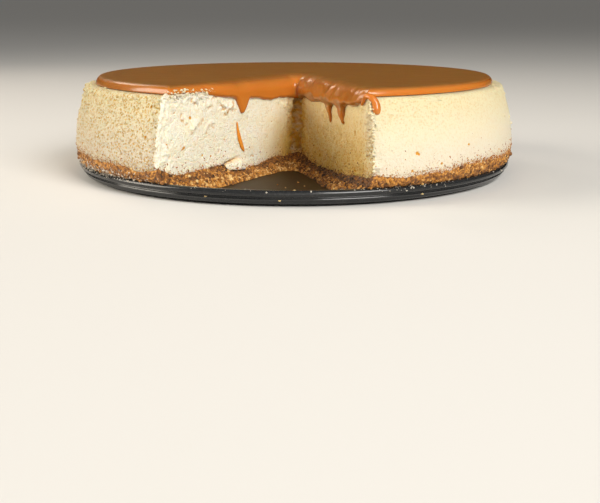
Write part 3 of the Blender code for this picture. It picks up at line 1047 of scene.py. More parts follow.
@dataclass
class LooseCrumbs:
    """Irregular crumbs strewn on a surface by Geometry Nodes."""

    name: str
    per_square_metre: float
    # Radii in mm, before each ball is stretched.
    smallest: float
    largest: float
    seed: int
    detail: int = 1
    where: str = "scatter"
    tone_low: float = -0.28
    tone_high: float = 0.42
    # How many small ones there are for a large one, and how their balls are bent.
    small_share: float = 2.6
    warp_mm: float = 1.3
    warp_reach_mm: float = 0.9

    def tree(self, material: bpy.types.Material) -> bpy.types.NodeTree:
        """Builds the scattering tree, with its sizes as named inputs.

        Args:
            material: Finish of the crumbs.

        Returns:
            The node tree.
        """
        tree = bpy.data.node_groups.new(self.name, "GeometryNodeTree")
        sockets = tree.interface
        sockets.new_socket("Surface", in_out="INPUT", socket_type="NodeSocketGeometry")
        for label in ("Crumbs per square metre", "Smallest radius", "Largest radius"):
            sockets.new_socket(label, in_out="INPUT", socket_type="NodeSocketFloat")
        sockets.new_socket("Crumbs", in_out="OUTPUT", socket_type="NodeSocketGeometry")
        given = add_node(tree, "NodeGroupInput")
        where = add_node(tree, "GeometryNodeInputNamedAttribute", {"Name": self.where},
                         data_type="FLOAT")
        density = add_node(tree, "ShaderNodeMath", {},
                           {0: where.outputs["Attribute"],
                            1: given.outputs["Crumbs per square metre"]},
                           operation="MULTIPLY")
        spread = add_node(tree, "GeometryNodeDistributePointsOnFaces", {"Seed": self.seed},
                          {"Mesh": given.outputs["Surface"],
                           "Density": density.outputs[0]}, distribute_method="RANDOM")
        ball = add_node(tree, "GeometryNodeMeshIcoSphere",
                        {"Radius": 1.0, "Subdivisions": self.detail})
        skew = add_node(tree, "FunctionNodeRandomValue",
                        {0: (0.6, 0.6, 0.45), 1: (1.3, 1.1, 0.95), "Seed": self.seed + 1},
                        data_type="FLOAT_VECTOR")
        even = add_node(tree, "FunctionNodeRandomValue", {"Seed": self.seed + 2},
                        data_type="FLOAT")
        few = add_node(tree, "ShaderNodeMath", {1: self.small_share}, {0: even.outputs[1]},
                       operation="POWER")
        size = add_node(tree, "ShaderNodeMapRange", {},
                        {"Value": few.outputs[0],
                         "To Min": given.outputs["Smallest radius"],
                         "To Max": given.outputs["Largest radius"]})
        scale = add_node(tree, "ShaderNodeVectorMath", {},
                         {0: skew.outputs[0], "Scale": size.outputs["Result"]},
                         operation="SCALE")
        turn = add_node(tree, "FunctionNodeRandomValue",
                        {0: (0.0, 0.0, 0.0), 1: (6.28, 6.28, 6.28), "Seed": self.seed + 3},
                        data_type="FLOAT_VECTOR")
        placed = add_node(tree, "GeometryNodeInstanceOnPoints", {},
                          {"Points": spread.outputs["Points"],
                           "Instance": ball.outputs["Mesh"],
                           "Rotation": turn.outputs[0], "Scale": scale.outputs[0]})
        tone = add_node(tree, "FunctionNodeRandomValue",
                        {2: self.tone_low, 3: self.tone_high, "Seed": self.seed + 4},
                        data_type="FLOAT")
        under = add_node(tree, "GeometryNodeInputNamedAttribute", {"Name": "tone"},
                         data_type="FLOAT")
        total = add_node(tree, "ShaderNodeMath", {},
                         {0: tone.outputs[1], 1: under.outputs["Attribute"]},
                         operation="ADD")
        toned = add_node(tree, "GeometryNodeStoreNamedAttribute", {"Name": "tone"},
                         {"Geometry": placed.outputs["Instances"],
                          "Value": total.outputs[0]}, data_type="FLOAT", domain="INSTANCE")
        real = add_node(tree, "GeometryNodeRealizeInstances", {},
                        {"Geometry": toned.outputs["Geometry"]})
        warp = add_node(tree, "ShaderNodeTexNoise",
                        {"Scale": 1.0 / (self.warp_mm * MM), "Detail": 1.0})
        centred = add_node(tree, "ShaderNodeVectorMath", {1: (-0.5, -0.5, -0.5)},
                           {0: warp.outputs["Color"]}, operation="ADD")
        push = add_node(tree, "ShaderNodeVectorMath", {"Scale": self.warp_reach_mm * MM},
                        {0: centred.outputs[0]}, operation="SCALE")
        moved = add_node(tree, "GeometryNodeSetPosition", {},
                         {"Geometry": real.outputs["Geometry"],
                          "Offset": push.outputs[0]})
        dressed = add_node(tree, "GeometryNodeSetMaterial", {"Material": material},
                           {"Geometry": moved.outputs["Geometry"]})
        add_node(tree, "NodeGroupOutput", {}, {"Crumbs": dressed.outputs["Geometry"]})
        return tree

    def build(self, surface: bpy.types.Object, slot: str, finish: Any) -> None:
        """Strews the crumbs on a surface and keeps them as one plain mesh.

        Args:
            surface: Object with a scatter attribute.
            slot: The record's material slot.
            finish: Finish of the crumbs.
        """
        tree = self.tree(finish.build())
        holder = bpy.data.objects.new(self.name + "_holder", surface.data)
        bpy.context.scene.collection.objects.link(holder)
        modifier = holder.modifiers.new("scatter", "NODES")
        modifier.node_group = tree
        given = {item.name: item.identifier for item in tree.interface.items_tree
                 if item.in_out == "INPUT"}
        modifier[given["Crumbs per square metre"]] = float(self.per_square_metre)
        modifier[given["Smallest radius"]] = self.smallest * MM
        modifier[given["Largest radius"]] = self.largest * MM
        graph = bpy.context.evaluated_depsgraph_get()
        mesh = bpy.data.meshes.new_from_object(holder.evaluated_get(graph))
        holder.modifiers.clear()
        bpy.data.objects.remove(holder)
        mesh.name = self.name
        mesh.polygons.foreach_set("use_smooth", [self.detail > 1] * len(mesh.polygons))
        made = bpy.data.objects.new(self.name, mesh)
        bpy.context.scene.collection.objects.link(made)
        settle(made, None, slot)


# The filling.


class FillingRing(NamedTuple):
    """One ring of the filling, read upwards and then inwards over the top."""

    rise: float
    radius: float
    base: float
    over_shoulder: bool


@dataclass
class BakedFilling:
    """Baked filling: bulging wall, rounded shoulder, flat top and torn cuts."""

    plan: CakePlan
    line: CrustLine
    bulge: float = 116.1
    top: float = 47.3
    wall_foot: float = 13.4
    hidden_height: float = 10.2
    shoulder: float = 2.6
    # Rings on the flat top, under the caramel: radius, offset at the cuts.
    top_rings: tuple[tuple[float, float], ...] = ((106.2, -1.4), (104.6, -2.2), (101.5, -4.0))
    # Patterns of the torn curd in the cuts.
    cut_waves: Grain = Grain(9.0, 101)
    left_grain: Grain = Grain(1.5, 111)
    right_grain: Grain = Grain(1.4, 113)
    apex_lumps: Grain = Grain(5.0, 147)
    tears: Grain = Grain(9.0, 115)
    tear_patches: Grain = Grain(14.0, 118)
    pits: Grain = Grain(4.0, 161)
    flake_edge: Grain = Grain(2.4, 119)
    flake_shade: Grain = Grain(2.0, 121)
    top_flakes: Grain = Grain(3.4, 131)
    hollow_edge: Grain = Grain(2.6, 145)
    hollow_grain: Grain = Grain(2.2, 141)
    crags: Grain = Grain(1.6, 151)
    crack_wobble: Grain = Grain(1.6, 177)
    lump_edge: Grain = Grain(3.0, 173)
    lump: Grain = Grain(3.0, 171)
    lump_grain: Grain = Grain(1.5, 175)
    # Patterns of the painted shade in the dark strip where the cuts meet.
    blots: Grain = Grain(1.5, 181)
    fray: Grain = Grain(4.0, 183)
    torn_edge: Grain = Grain(2.6, 185)
    # Patterns of the baked wall and of the skin under the caramel.
    wall_waves: Grain = Grain(12.0, 201, 3)
    wall_grain: Grain = Grain(1.6, 211)
    wall_pits: Grain = Grain(3.0, 221)
    wall_crags: Grain = Grain(2.2, 231)
    top_ripple: Grain = Grain(3.0, 241)
    # What the finish and the scattering read at each point.
    marks: tuple[str, ...] = ("pit_and_shadow", "wall", "pock_and_hollow_shade", "painted_warm_shade", "hole", "painted_crevice_shade", "fringe", "flecks")
    # Wall upwards: height above the crust line, inset from the bulge.
    section: tuple[tuple[float, float], ...] = (
        (-0.4, 0.9), (0.6, 0.45), (1.6, 0.15), (4.6, 0.0), (9.6, 0.4), (14.6, 1.0),
        (19.6, 2.1), (24.4, 3.6), (28.8, 4.9), (31.6, 5.9))
    wall_step: float = 0.6
    # Lifted flakes on the left cut: mm along the cut, height, radius, lift.
    chips: tuple[tuple[float, float, float, float], ...] = (
        (92.0, 34.0, 3.2, 0.9), (87.6, 33.0, 2.6, 0.8), (75.2, 32.4, 1.9, 0.8),
        (79.5, 29.8, 1.6, 0.7), (97.4, 23.0, 1.2, 0.7), (66.5, 41.2, 2.8, 1.0),
        (62.6, 38.6, 2.4, 1.0), (59.4, 38.6, 2.0, 0.9), (76.0, 43.0, 2.2, 0.9),
        (87.0, 44.4, 2.4, 0.9), (64.6, 23.2, 1.0, 0.4), (109.1, 25.6, 0.8, 0.4))
    # The crack low in the left cut: mm along the cut, height.
    crack: tuple[tuple[float, float], ...] = (
        (51.0, 12.4), (55.0, 11.9), (58.0, 11.6), (61.0, 10.9), (65.0, 10.3), (69.0, 9.4))
    # Amber spots in the cuts: side, mm along the cut, height, radius.
    spots_in_cut: tuple[tuple[Side, float, float, float], ...] = (
        (Side.LEFT_CUT, 92.0, 35.6, 0.85), (Side.LEFT_CUT, 97.4, 22.0, 0.85),
        (Side.LEFT_CUT, 109.1, 25.0, 0.5), (Side.LEFT_CUT, 83.1, 16.9, 0.55),
        (Side.LEFT_CUT, 76.7, 15.7, 0.6), (Side.LEFT_CUT, 41.6, 11.5, 0.6),
        (Side.LEFT_CUT, 43.4, 11.8, 0.6), (Side.LEFT_CUT, 103.0, 38.8, 0.45),
        (Side.LEFT_CUT, 24.3, 27.5, 0.5), (Side.LEFT_CUT, 59.5, 38.0, 0.7),
        (Side.LEFT_CUT, 105.3, 26.5, 0.4), (Side.RIGHT_CUT, 91.1, 29.4, 0.95),
        (Side.RIGHT_CUT, 90.4, 30.4, 0.6), (Side.RIGHT_CUT, 27.6, 15.7, 0.8),
        (Side.RIGHT_CUT, 39.2, 12.2, 0.8), (Side.RIGHT_CUT, 76.2, 32.7, 0.6),
        (Side.RIGHT_CUT, 89.3, 23.2, 0.5), (Side.RIGHT_CUT, 96.7, 18.6, 0.45))
    # Amber holes in the baked wall: degrees from the front, height, radius.
    holes: tuple[tuple[float, float, float], ...] = (
        (28.4, 22.6, 0.95), (28.9, 22.0, 0.7), (35.5, 16.9, 0.75), (44.6, 24.0, 0.75),
        (27.2, 14.8, 0.75), (36.8, 27.6, 0.4), (-35.5, 42.0, 0.8), (-34.4, 41.6, 0.5),
        (-35.8, 28.7, 0.8), (-65.7, 19.8, 0.9), (-49.4, 21.6, 0.6), (-62.0, 27.0, 0.5),
        (24.0, 39.0, 0.35), (-44.0, 17.5, 0.5), (-55.0, 34.0, 0.5), (22.4, 33.0, 0.3),
        (33.4, 36.8, 0.3), (31.0, 30.4, 0.3), (41.0, 34.2, 0.3))

    def _wall_profile(self) -> Array:
        """Reads the wall's section at even steps and softens its corners.

        Returns:
            Rise and inset of each ring, shape (n, 2).
        """
        section = np.array(self.section)
        rises = np.arange(section[0, 0], section[-1, 0] + 1e-6, self.wall_step)
        insets = np.interp(rises, section[:, 0], section[:, 1])
        insets = np.convolve(np.pad(insets, 3, mode="edge"), np.ones(7) / 7.0, "valid")
        return np.stack([rises, insets], axis=-1)

    def _cut_relief(self, spots: Array, s: Array, z: Array) -> tuple[Array, Array, Array]:
        """Relief of torn curd at the cuts.

        Args:
            spots: Places in mm.
            s: Distance along the cut.
            z: Height.

        Returns:
            The relief, the depth of pits and painted shadow, and the crack's share.
        """
        left = self.plan.on(Side.LEFT_CUT)
        inner = bump(s, 0.0, 26.0)
        corner = smooth(101.0, 111.0, s)
        relief = np.where(left, 0.12, 0.3) * self.cut_waves.at(spots)
        # A knife drags the right-hand cut's grain upright.
        dragged = spots * np.array([1.0, 1.0, 0.45])
        relief += np.where(left, 0.24 * self.left_grain.at(spots),
                           0.66 * self.right_grain.at(dragged))
        relief += 1.7 * bump(s, 4.0, 14.0) * self.apex_lumps.at(spots)
        torn = np.abs(self.tears.at(spots))
        patch = smooth(0.0, 0.35, self.tear_patches.plain(spots))
        relief -= np.where(left, 0.0, 0.5) * patch * np.exp(-(torn / 0.05) ** 2)
        pit_away, pit_number = self.pits.cells(spots)
        radius = 0.35 + 0.75 * ((pit_number * 7.0) % 1.0)
        chosen = pit_number < np.where(left, 0.16, 0.34) + 0.3 * inner
        pit_and_shadow = np.where(chosen, np.clip(1.0 - (pit_away / radius) ** 2, 0.0, 1.0), 0.0)
        relief -= pit_and_shadow
        relief, pit_and_shadow = self._raise_flakes(relief, pit_and_shadow, spots, s, z)
        flakes = smooth(36.0, 45.0, z) * np.where(left, smooth(55.0, 70.0, s), 0.3)
        _, flake_number = self.top_flakes.cells(spots)
        relief += flakes * 0.9 * (flake_number - 0.5)
        # The left cut is hollowed only low down, where it meets the right one.
        hollow = 1.4 * bump(s, 0.0, 10.0)
        hollow += 1.5 * bump(s, 0.0, 12.0) * smooth(0.0, 0.45, self.hollow_edge.at(spots))
        hollow += inner * (0.2 + 1.5 * np.abs(self.hollow_grain.at(spots)))
        relief -= hollow * np.where(left, 0.15 + 0.85 * smooth(30.0, 10.0, z), 1.0)
        relief += (1.1 * inner + np.where(left, 0.9, 1.15) * corner) * self.crags.at(spots)
        relief, gap = self._open_crack(relief, spots, s, z)
        return relief, np.clip(pit_and_shadow * np.where(left, 0.6, 0.85), 0.0, 1.0), gap

    def _raise_flakes(self, relief: Array, pit_and_shadow: Array, spots: Array, s: Array,
                      z: Array) -> tuple[Array, Array]:
        """Lifts the flakes off the left cut and paints an amber shadow under each.

        Args:
            relief: Relief so far.
            pit_and_shadow: Depth of the pits and painted shadow so far.
            spots: Places in mm.
            s: Distance along the cut.
            z: Height.

        Returns:
            The relief, and the pits with the painted shadow under the flakes added.
        """
        left = self.plan.on(Side.LEFT_CUT)
        for place, height, radius, lift in self.chips:
            turn = 0.9 * math.sin(place * 3.7)
            across = (s - place) * math.cos(turn) + (z - height) * math.sin(turn)
            up = (z - height) * math.cos(turn) - (s - place) * math.sin(turn)
            away = np.hypot(across * 0.6, up)
            away = away + radius * self.flake_edge.at(spots)
            tilt = np.clip(0.5 - 0.5 * (z - height) / radius, 0.0, 1.0)
            flake = lift * tilt * (1.0 - smooth(radius - 0.5, radius + 0.1, away))
            # Painted shadow: a crescent under each flake's lower edge goes into the pit mark,
            # coloured amber.
            under = bump(away, radius + 0.35, 0.6) * smooth(0.1, 0.7, -up / radius)
            under = under * smooth(-0.35, 0.05, self.flake_shade.at(spots))
            relief = relief + np.where(left, flake - 0.7 * lift * under, 0.0)
            pit_and_shadow = np.maximum(pit_and_shadow, np.where(left, 1.6 * under, 0.0))
        return relief, pit_and_shadow

    def _open_crack(self, relief: Array, spots: Array, s: Array,
                    z: Array) -> tuple[Array, Array]:
        """Opens the crack low in the left cut, over a lump of curd that leans out.

        Args:
            relief: Relief so far.
            spots: Places in mm.
            s: Distance along the cut.
            z: Height.

        Returns:
            The relief with the crack added, and the crack's share.
        """
        left = self.plan.on(Side.LEFT_CUT)
        line = np.interp(s, *np.array(self.crack).T)
        line = line + 0.35 * self.crack_wobble.plain(np.column_stack([s, s * 0.0, s * 0.0]))
        gap = np.where(left, np.exp(-((z - line) / 0.6) ** 2), 0.0) * bump(s, 60.5, 10.0)
        ragged = 1.1 * self.lump_edge.at(np.column_stack([s, s * 0.0, z * 0.3]))
        lean = bump(s + ragged, 55.5, 12.5) * (1.0 - smooth(9.4, 10.8, z + 0.7 * ragged))
        lump = 1.5 + 1.3 * self.lump.at(spots) + 0.9 * self.lump_grain.plain(spots)
        return relief + (np.where(left, lump * lean, 0.0) - 3.4 * gap), gap

    def _wall_relief(self, spots: Array, degrees: Array) -> tuple[Array, Array]:
        """Relief of the baked outer wall.

        Args:
            spots: Places in mm.
            degrees: Angle of each station.

        Returns:
            The relief, and how deep in a pit each point is.
        """
        pocked = self.pocked(degrees)
        relief = 0.3 * self.wall_waves.at(spots)
        relief += (0.6 * pocked - 0.07) * self.wall_grain.at(spots)
        away, number = self.wall_pits.cells(spots)
        radius = 0.4 + 0.5 * ((number * 11.0) % 1.0)
        chosen = number < 0.01 + 0.2 * smooth(0.3, 1.0, pocked)
        pit_and_shadow = np.where(chosen, np.clip(1.0 - (away / radius) ** 2, 0.0, 1.0), 0.0)
        relief -= 0.8 * pit_and_shadow
        edge = np.maximum(bump(degrees, self.plan.left_cut_deg, 4.0),
                          bump(degrees, self.plan.right_cut_deg, 3.0))
        relief += edge * 1.5 * self.wall_crags.at(spots)
        return relief, pit_and_shadow * 0.6

    def _holes(self, degrees: Array, z: Array) -> Array:
        """Share of each named hole: 1 in its middle, a half at its rim.

        Args:
            degrees: Angle of each station.
            z: Height.

        Returns:
            The shares.
        """
        share = np.zeros(len(z))
        for angle, height, radius in self.holes:
            across = np.radians(degrees - angle) * self.bulge
            away = np.hypot(across, (z - height) * 1.15) / radius
            share = np.maximum(share, np.clip(1.0 - 0.5 * away, 0.0, 1.0))
        return share

    def _cut_spots(self, s: Array, z: Array) -> Array:
        """Share of each named spot in the cuts, as for the holes.

        Args:
            s: Distance along the cut.
            z: Height.

        Returns:
            The shares.
        """
        share = np.zeros(len(z))
        for side, place, height, radius in self.spots_in_cut:
            away = np.hypot((s - place) * 0.85, z - height) / radius
            here = np.where(self.plan.on(side), 1.0 - 0.5 * away, 0.0)
            share = np.maximum(share, np.clip(here, 0.0, 1.0))
        return share

    @staticmethod
    def pocked(degrees: Array) -> Array:
        """Share of the dense pitting that the wall has on its left-hand side."""
        left = smooth(-22.0, -34.0, degrees) * smooth(-165.0, -120.0, degrees)
        return np.maximum(left, 0.17)

    def _rings(self) -> list[FillingRing]:
        """Lists the rings up the wall, over the shoulder and onto the flat top.

        Returns:
            The rings in order.
        """
        rings = [FillingRing(rise, self.bulge - inset, 0.0, False)
                 for rise, inset in self._wall_profile()]
        top_rise, last_radius = rings[-1].rise, rings[-1].radius
        drop = self.top - (self.wall_foot + top_rise)
        for angle in np.linspace(0.1, 1.0, 9) * math.pi / 2.0:
            rings.append(FillingRing(top_rise + drop * math.sin(angle),
                                     last_radius - self.shoulder * (1.0 - math.cos(angle)),
                                     -0.8 * math.sin(angle) ** 6, True))
        for radius, base in self.top_rings:
            rings.append(FillingRing(self.top - self.wall_foot, radius, base, True))
        return rings

    def _shades(self, spots: Array, s: Array, z: Array, gap: Array) -> dict[str, Array]:
        """Where the curd is pitted, and where shade is painted on it.

        Args:
            spots: Places in mm before the top is rippled.
            s: Distance along the cut.
            z: Height.
            gap: Share of the crack in the left cut.

        Returns:
            The shares at each station, by the name of the mark.
        """
        plan = self.plan
        cuts = plan.on_cuts
        left, right = plan.on(Side.LEFT_CUT), plan.on(Side.RIGHT_CUT)
        deep = bump(s, 0.0, 22.0) * cuts
        high = 0.2 * smooth(28.0, 42.0, z)
        # Painted shade: the right cut's pitting and the hollow shade painted with it grow towards
        # its foot, so the cut darkens downwards.
        right_pock_and_low_shade = 0.32 + 0.75 * smooth(42.0, 12.0, z)
        pock_and_hollow_shade = np.where(cuts, np.where(right, right_pock_and_low_shade, 0.3) + 0.12 * deep,
                        self.pocked(plan.degrees) + high)
        # Painted shade: the right cut lies in shade and takes warm light bounced off the left
        # cut, so it is tinted warm all over, most at its foot and least at its corner; near the
        # apex both cuts, the left one mostly low down, are tinted the same way.
        right_cut_warm_shade = (1.0 - 0.5 * z / 47.0) * (1.0 - 0.35 * smooth(98.0, 111.0, s))
        left_cut_warm_shade = cuts * left * bump(s, 0.0, 42.0) * (0.2 + 0.85 * smooth(42.0, 6.0, z))
        painted_warm_shade = np.where(right, right_cut_warm_shade, 0.0) + left_cut_warm_shade + bump(s, 0.0, 18.0) * 0.4 * cuts
        # Painted shade: the strip where the cuts meet, which light hardly reaches, is darkened;
        # it has a torn edge and is wider low down, and the crack and the cuts near the apex are
        # darkened too.
        blot = self.blots.at(spots)
        frayed = np.maximum(0.0, s + 13.0 * self.fray.at(spots))
        low = smooth(42.0, 8.0, z)
        reach = np.where(left, 3.0 + 9.5 * low, 7.0 + 7.0 * low)
        torn = s + 4.5 * self.torn_edge.at(spots)
        core = smooth(0.75 * reach + 1.5, 0.3 * reach, torn) * (0.8 + 0.9 * blot)
        strip = np.maximum(core, bump(frayed, 0.0, reach) * (0.8 + 1.4 * blot))
        painted_crevice_shade = gap + cuts * strip + 0.5 * deep * smooth(0.25, 0.5, blot)
        return {"wall": np.where(cuts, 0.0, 1.0), "pock_and_hollow_shade": pock_and_hollow_shade, "painted_warm_shade": painted_warm_shade,
                "painted_crevice_shade": np.clip(painted_crevice_shade, 0.0, 1.0)}

    def _strewn(self, rise: float, s: Array, z: Array) -> dict[str, Array]:
        """Where crumbs cling above the crust and flecks stand on broken edges.

        Args:
            rise: Height of the ring above the crust line.
            s: Distance along the cut.
            z: Height.

        Returns:
            The shares at each station, by the name of the mark.
        """
        plan = self.plan
        cuts = plan.on_cuts
        left, right = plan.on(Side.LEFT_CUT), plan.on(Side.RIGHT_CUT)
        falls = math.exp(-max(0.0, rise) / 0.8) + 0.25 * math.exp(-max(0.0, rise) / 2.2)
        falls *= float(rise > -0.3)
        far = smooth(22.0, 34.0, plan.degrees) * (1.0 + bump(plan.degrees, 52.0, 16.0))
        torn = np.where(left, smooth(70.0, 78.0, s) * smooth(43.2, 45.0, z), 0.0)
        crag = np.where(right, smooth(104.0, 111.0, s) * smooth(18.0, 30.0, z), 0.0)
        near_edge = np.maximum(bump(plan.degrees, plan.left_cut_deg, 1.6),
                               3.0 * bump(plan.degrees, plan.right_cut_deg, 1.2))
        wall_crag = near_edge * smooth(20.0, 38.0, z)
        rough = bump(s, 4.0, 13.0) * cuts * 0.35
        shoulder = (bump(z, 45.0, 2.5) + 0.2 * bump(z, 35.0, 12.0)) * np.maximum(
            0.35 * bump(plan.degrees, -74.0, 26.0), 0.14 * bump(plan.degrees, 74.0, 16.0))
        return {"fringe": falls * np.where(cuts, 0.6, 0.7 + far),
                "flecks": np.where(cuts, torn + 2.4 * crag + rough,
                                   np.maximum(0.7 * wall_crag, shoulder))}

    def build(self) -> bpy.types.Object:
        """Stacks the rings, adds the relief and dresses the piece.

        Returns:
            The filling, which crumbs and curd flecks are strewn on.
        """
        plan = self.plan
        cuts = plan.on_cuts
        rows = [plan.hidden_ring(self.hidden_height)]
        marks = [{key: np.zeros(plan.count) for key in self.marks}]
        for rise, radius, base, over_shoulder in self._rings():
            places, normals, s = plan.ring(radius, base, 2.4 - base)
            line = self.line.heights(plan, s)
            z = line + rise + (self.wall_foot - line) * float(smooth(0.0, 22.0, rise))
            z = np.minimum(z, self.top)
            spots = np.column_stack([places, z])
            cut_more, cut_pit, gap = self._cut_relief(spots, s, z)
            wall_more, wall_pit = self._wall_relief(spots, plan.degrees)
            hole = np.where(cuts, self._cut_spots(s, z), self._holes(plan.degrees, z))
            more = np.where(cuts, cut_more, wall_more) - 0.9 * smooth(0.45, 0.8, hole)
            if over_shoulder:
                more = more * (1.0 - smooth(self.top - 1.6, self.top, z))
                z = z + 0.35 * self.top_ripple.at(spots) * (radius > 105.0) - 0.3
            rows.append(np.column_stack([places + normals * more[:, None], z]))
            pit_and_shadow = np.where(cuts, cut_pit, wall_pit) * float(base == 0.0)
            marks.append({"pit_and_shadow": pit_and_shadow, "hole": hole, **self._shades(spots, s, z, gap),
                          **self._strewn(rise, s, z)})
        made = make_object("baked_filling", np.concatenate(rows),
                           capped_faces(len(rows), plan.count),
                           {key: np.concatenate([mark[key] for mark in marks])
                            for key in self.marks})
        settle(made, BakedCurdFinish(), "filling", "filling")
        return made


# The caramel.


@dataclass
class CaramelTopping:
    """Poured caramel with a rounded rim, hanging over both cuts in sheets and drips."""

    plan: CakePlan
    bottom: float = 47.3
    top: float = 51.2
    foot: float = 104.8
    rim: float = 3.5
    sheet: float = 2.1
    # Lower edge of the caramel at each cut: mm along the cut from the apex, height.
    left_edge: tuple[tuple[float, float], ...] = (
        (0.0, 38.2), (4.6, 38.4), (15.2, 39.2), (23.6, 39.1), (26.3, 38.6), (35.3, 39.9),
        (45.2, 41.3), (46.6, 40.4), (48.2, 37.6), (50.2, 34.8), (51.4, 34.0), (52.7, 34.6),
        (54.6, 38.2), (56.4, 41.0), (58.5, 42.0), (66.4, 43.1), (74.2, 44.4), (77.2, 44.9),
        (80.3, 46.5), (84.5, 46.6), (87.8, 46.3), (94.4, 47.3), (105.0, 47.3))
    right_edge: tuple[tuple[float, float], ...] = (
        (0.0, 37.4), (5.8, 37.7), (13.0, 39.2), (18.7, 39.4), (26.0, 38.0), (33.6, 38.4),
        (41.0, 39.4), (47.6, 39.2), (50.6, 37.6), (52.8, 35.0), (54.6, 32.2), (56.0, 30.4),
        (56.7, 31.0), (57.2, 34.6), (58.0, 38.9), (62.0, 40.0), (68.6, 39.8), (71.0, 38.0),
        (72.4, 35.0), (73.6, 32.6), (75.0, 31.8), (75.8, 32.8), (76.6, 37.0), (77.8, 40.8),
        (82.0, 42.0), (88.0, 41.6), (92.8, 42.3), (99.2, 43.6), (103.0, 46.6),
        (105.0, 47.3))
    top_grid: float = 3.0
    top_reach: float = 102.0
    drip_wave: Grain = Grain(3.6, 301)
    lobes: Grain = Grain(13.0, 311)
    small_lobes: Grain = Grain(5.0, 313)
    slow_swell: Grain = Grain(15.0, 321)
    spreading: Grain = Grain(22.0, 331)
    # How far a sheet's pull at the rim is evened out, in stations and in mm.
    even_stations: int = 25
    longest_pull: float = 9.5

    def hang(self, s: Array) -> Array:
        """How far the caramel runs down the cut at each station.

        Args:
            s: Distance along the cut.

        Returns:
            Lengths in mm, 0 on the outer wall.
        """
        plan = self.plan
        edge = np.full(plan.count, self.bottom)
        for side, line in ((Side.LEFT_CUT, self.left_edge),
                           (Side.RIGHT_CUT, self.right_edge)):
            mask = plan.on(side)
            edge[mask] = np.interp(s[mask], *np.array(line).T)
        edge[plan.on(Side.APEX)] = self.left_edge[0][1]
        result = self.bottom - edge
        wave = 0.3 * self.drip_wave.plain(np.column_stack([s, plan.side * 30.0, 0.0 * s]))
        return np.maximum(0.0, result + wave * smooth(0.5, 3.0, result))

    def _edge_distance(self, s: Array, z: Array, s_edge: Array, z_edge: Array) -> Array:
        """Shortest distance from each point (s, z) to the sheet's lower edge."""
        squares = (s[:, None] - s_edge[None, :]) ** 2 + (z[:, None] - z_edge[None, :]) ** 2
        return np.sqrt(np.min(squares, axis=1))

    def _swell(self, spot: Array) -> Array:
        """Lobes and hollows of the caramel's face, strongest on the right cut.

        Args:
            spot: Places in mm.

        Returns:
            How far the face stands out at each place, in mm.
        """
        right = self.plan.on(Side.RIGHT_CUT)
        left = self.plan.on(Side.LEFT_CUT)
        lobes = 1.2 * self.lobes.plain(spot * np.array([1.0, 1.0, 1.5]))
        lobes += 0.8 * self.small_lobes.plain(spot) + 0.9 * bump(spot[:, 2], 43.0, 4.0)
        slow = self.slow_swell.plain(spot)
        return np.where(right, lobes, 0.0) + np.where(left, 0.55, 0.2) * slow

    def build(self) -> None:
        """Makes the layer with its hanging sheets and drips, and dresses it."""
        plan = self.plan
        _, _, s = plan.ring(self.foot, 0.0, 3.0)
        hang = self.hang(s)
        low = self.bottom - hang
        cuts = plan.on_cuts
        right = plan.on(Side.RIGHT_CUT)
        full = self.sheet * smooth(0.0, 5.0, hang)
        pull = np.pad(np.minimum(hang, self.longest_pull), self.even_stations // 2, mode="wrap")
        slope = np.convolve(pull, np.ones(self.even_stations) / self.even_stations, "valid")
        turn = self.bottom - 0.42 * np.minimum(hang, slope)
        roll_back = np.where(cuts, np.where(right, 0.3, 0.7), 0.0) * slope
        rows = []
        dried_skin_and_shade = []
        for share in np.linspace(0.0, 1.0, 17):
            angle = share * math.pi / 2.0
            z = turn + (self.top - turn) * math.cos(angle)
            inset = self.rim * (1.0 - math.sin(angle))
            places, normals, _ = plan.ring(self.foot - inset, -inset, 3.0 + inset)
            swell = self._swell(np.column_stack([places, z]))
            shown = math.sin(angle)
            more = np.where(cuts, full * shown, 0.0) + swell * shown ** 1.5
            more -= roll_back * (1.0 - shown)
            lift = 0.35 * np.where(right, swell, 0.0) * (1.0 - shown) * smooth(0.0, 0.4, share)
            rows.append(np.column_stack([places + normals * more[:, None], z + lift]))
            # Painted shade: the sheet on the right cut, which lies in shade, takes half the skin's
            # brown.
            dull_rim = 0.62 * bump(plan.degrees, -66.0, 56.0) * ~cuts
            dried_skin_and_shade.append(np.maximum(1.0 - float(smooth(0.2, 0.7, share)),
                                    np.where(right, 0.5, dull_rim)))
        for share in np.linspace(0.0, 1.0, 24)[1:]:
            places, normals, along = plan.ring(self.foot, 0.0, 3.0)
            z = turn - share * (turn - low)
            away = np.full(plan.count, 9.0)
            for side in (Side.LEFT_CUT, Side.RIGHT_CUT):
                mask = plan.on(side)
                away[mask] = self._edge_distance(along[mask], z[mask], along[mask], low[mask])
            away[plan.on(Side.APEX)] = np.abs(z - low)[plan.on(Side.APEX)]
            round_off = np.sqrt(1.0 - (1.0 - np.clip(away / 1.9, 0.0, 1.0)) ** 2)
            swell = self._swell(np.column_stack([places, z]))
            # The drips on the right cut thin out towards their tips.
            tip = right * smooth(38.5, 33.0, z)
            thick = np.maximum(0.9, full + swell) * (1.0 - 0.55 * tip)
            more = np.where(cuts & (hang > 0.05),
                            thick * round_off - 0.25 * (1.0 - round_off),
                            swell * (1.0 - share) - 0.3 * share)
            rows.append(np.column_stack([places + normals * more[:, None], z]))
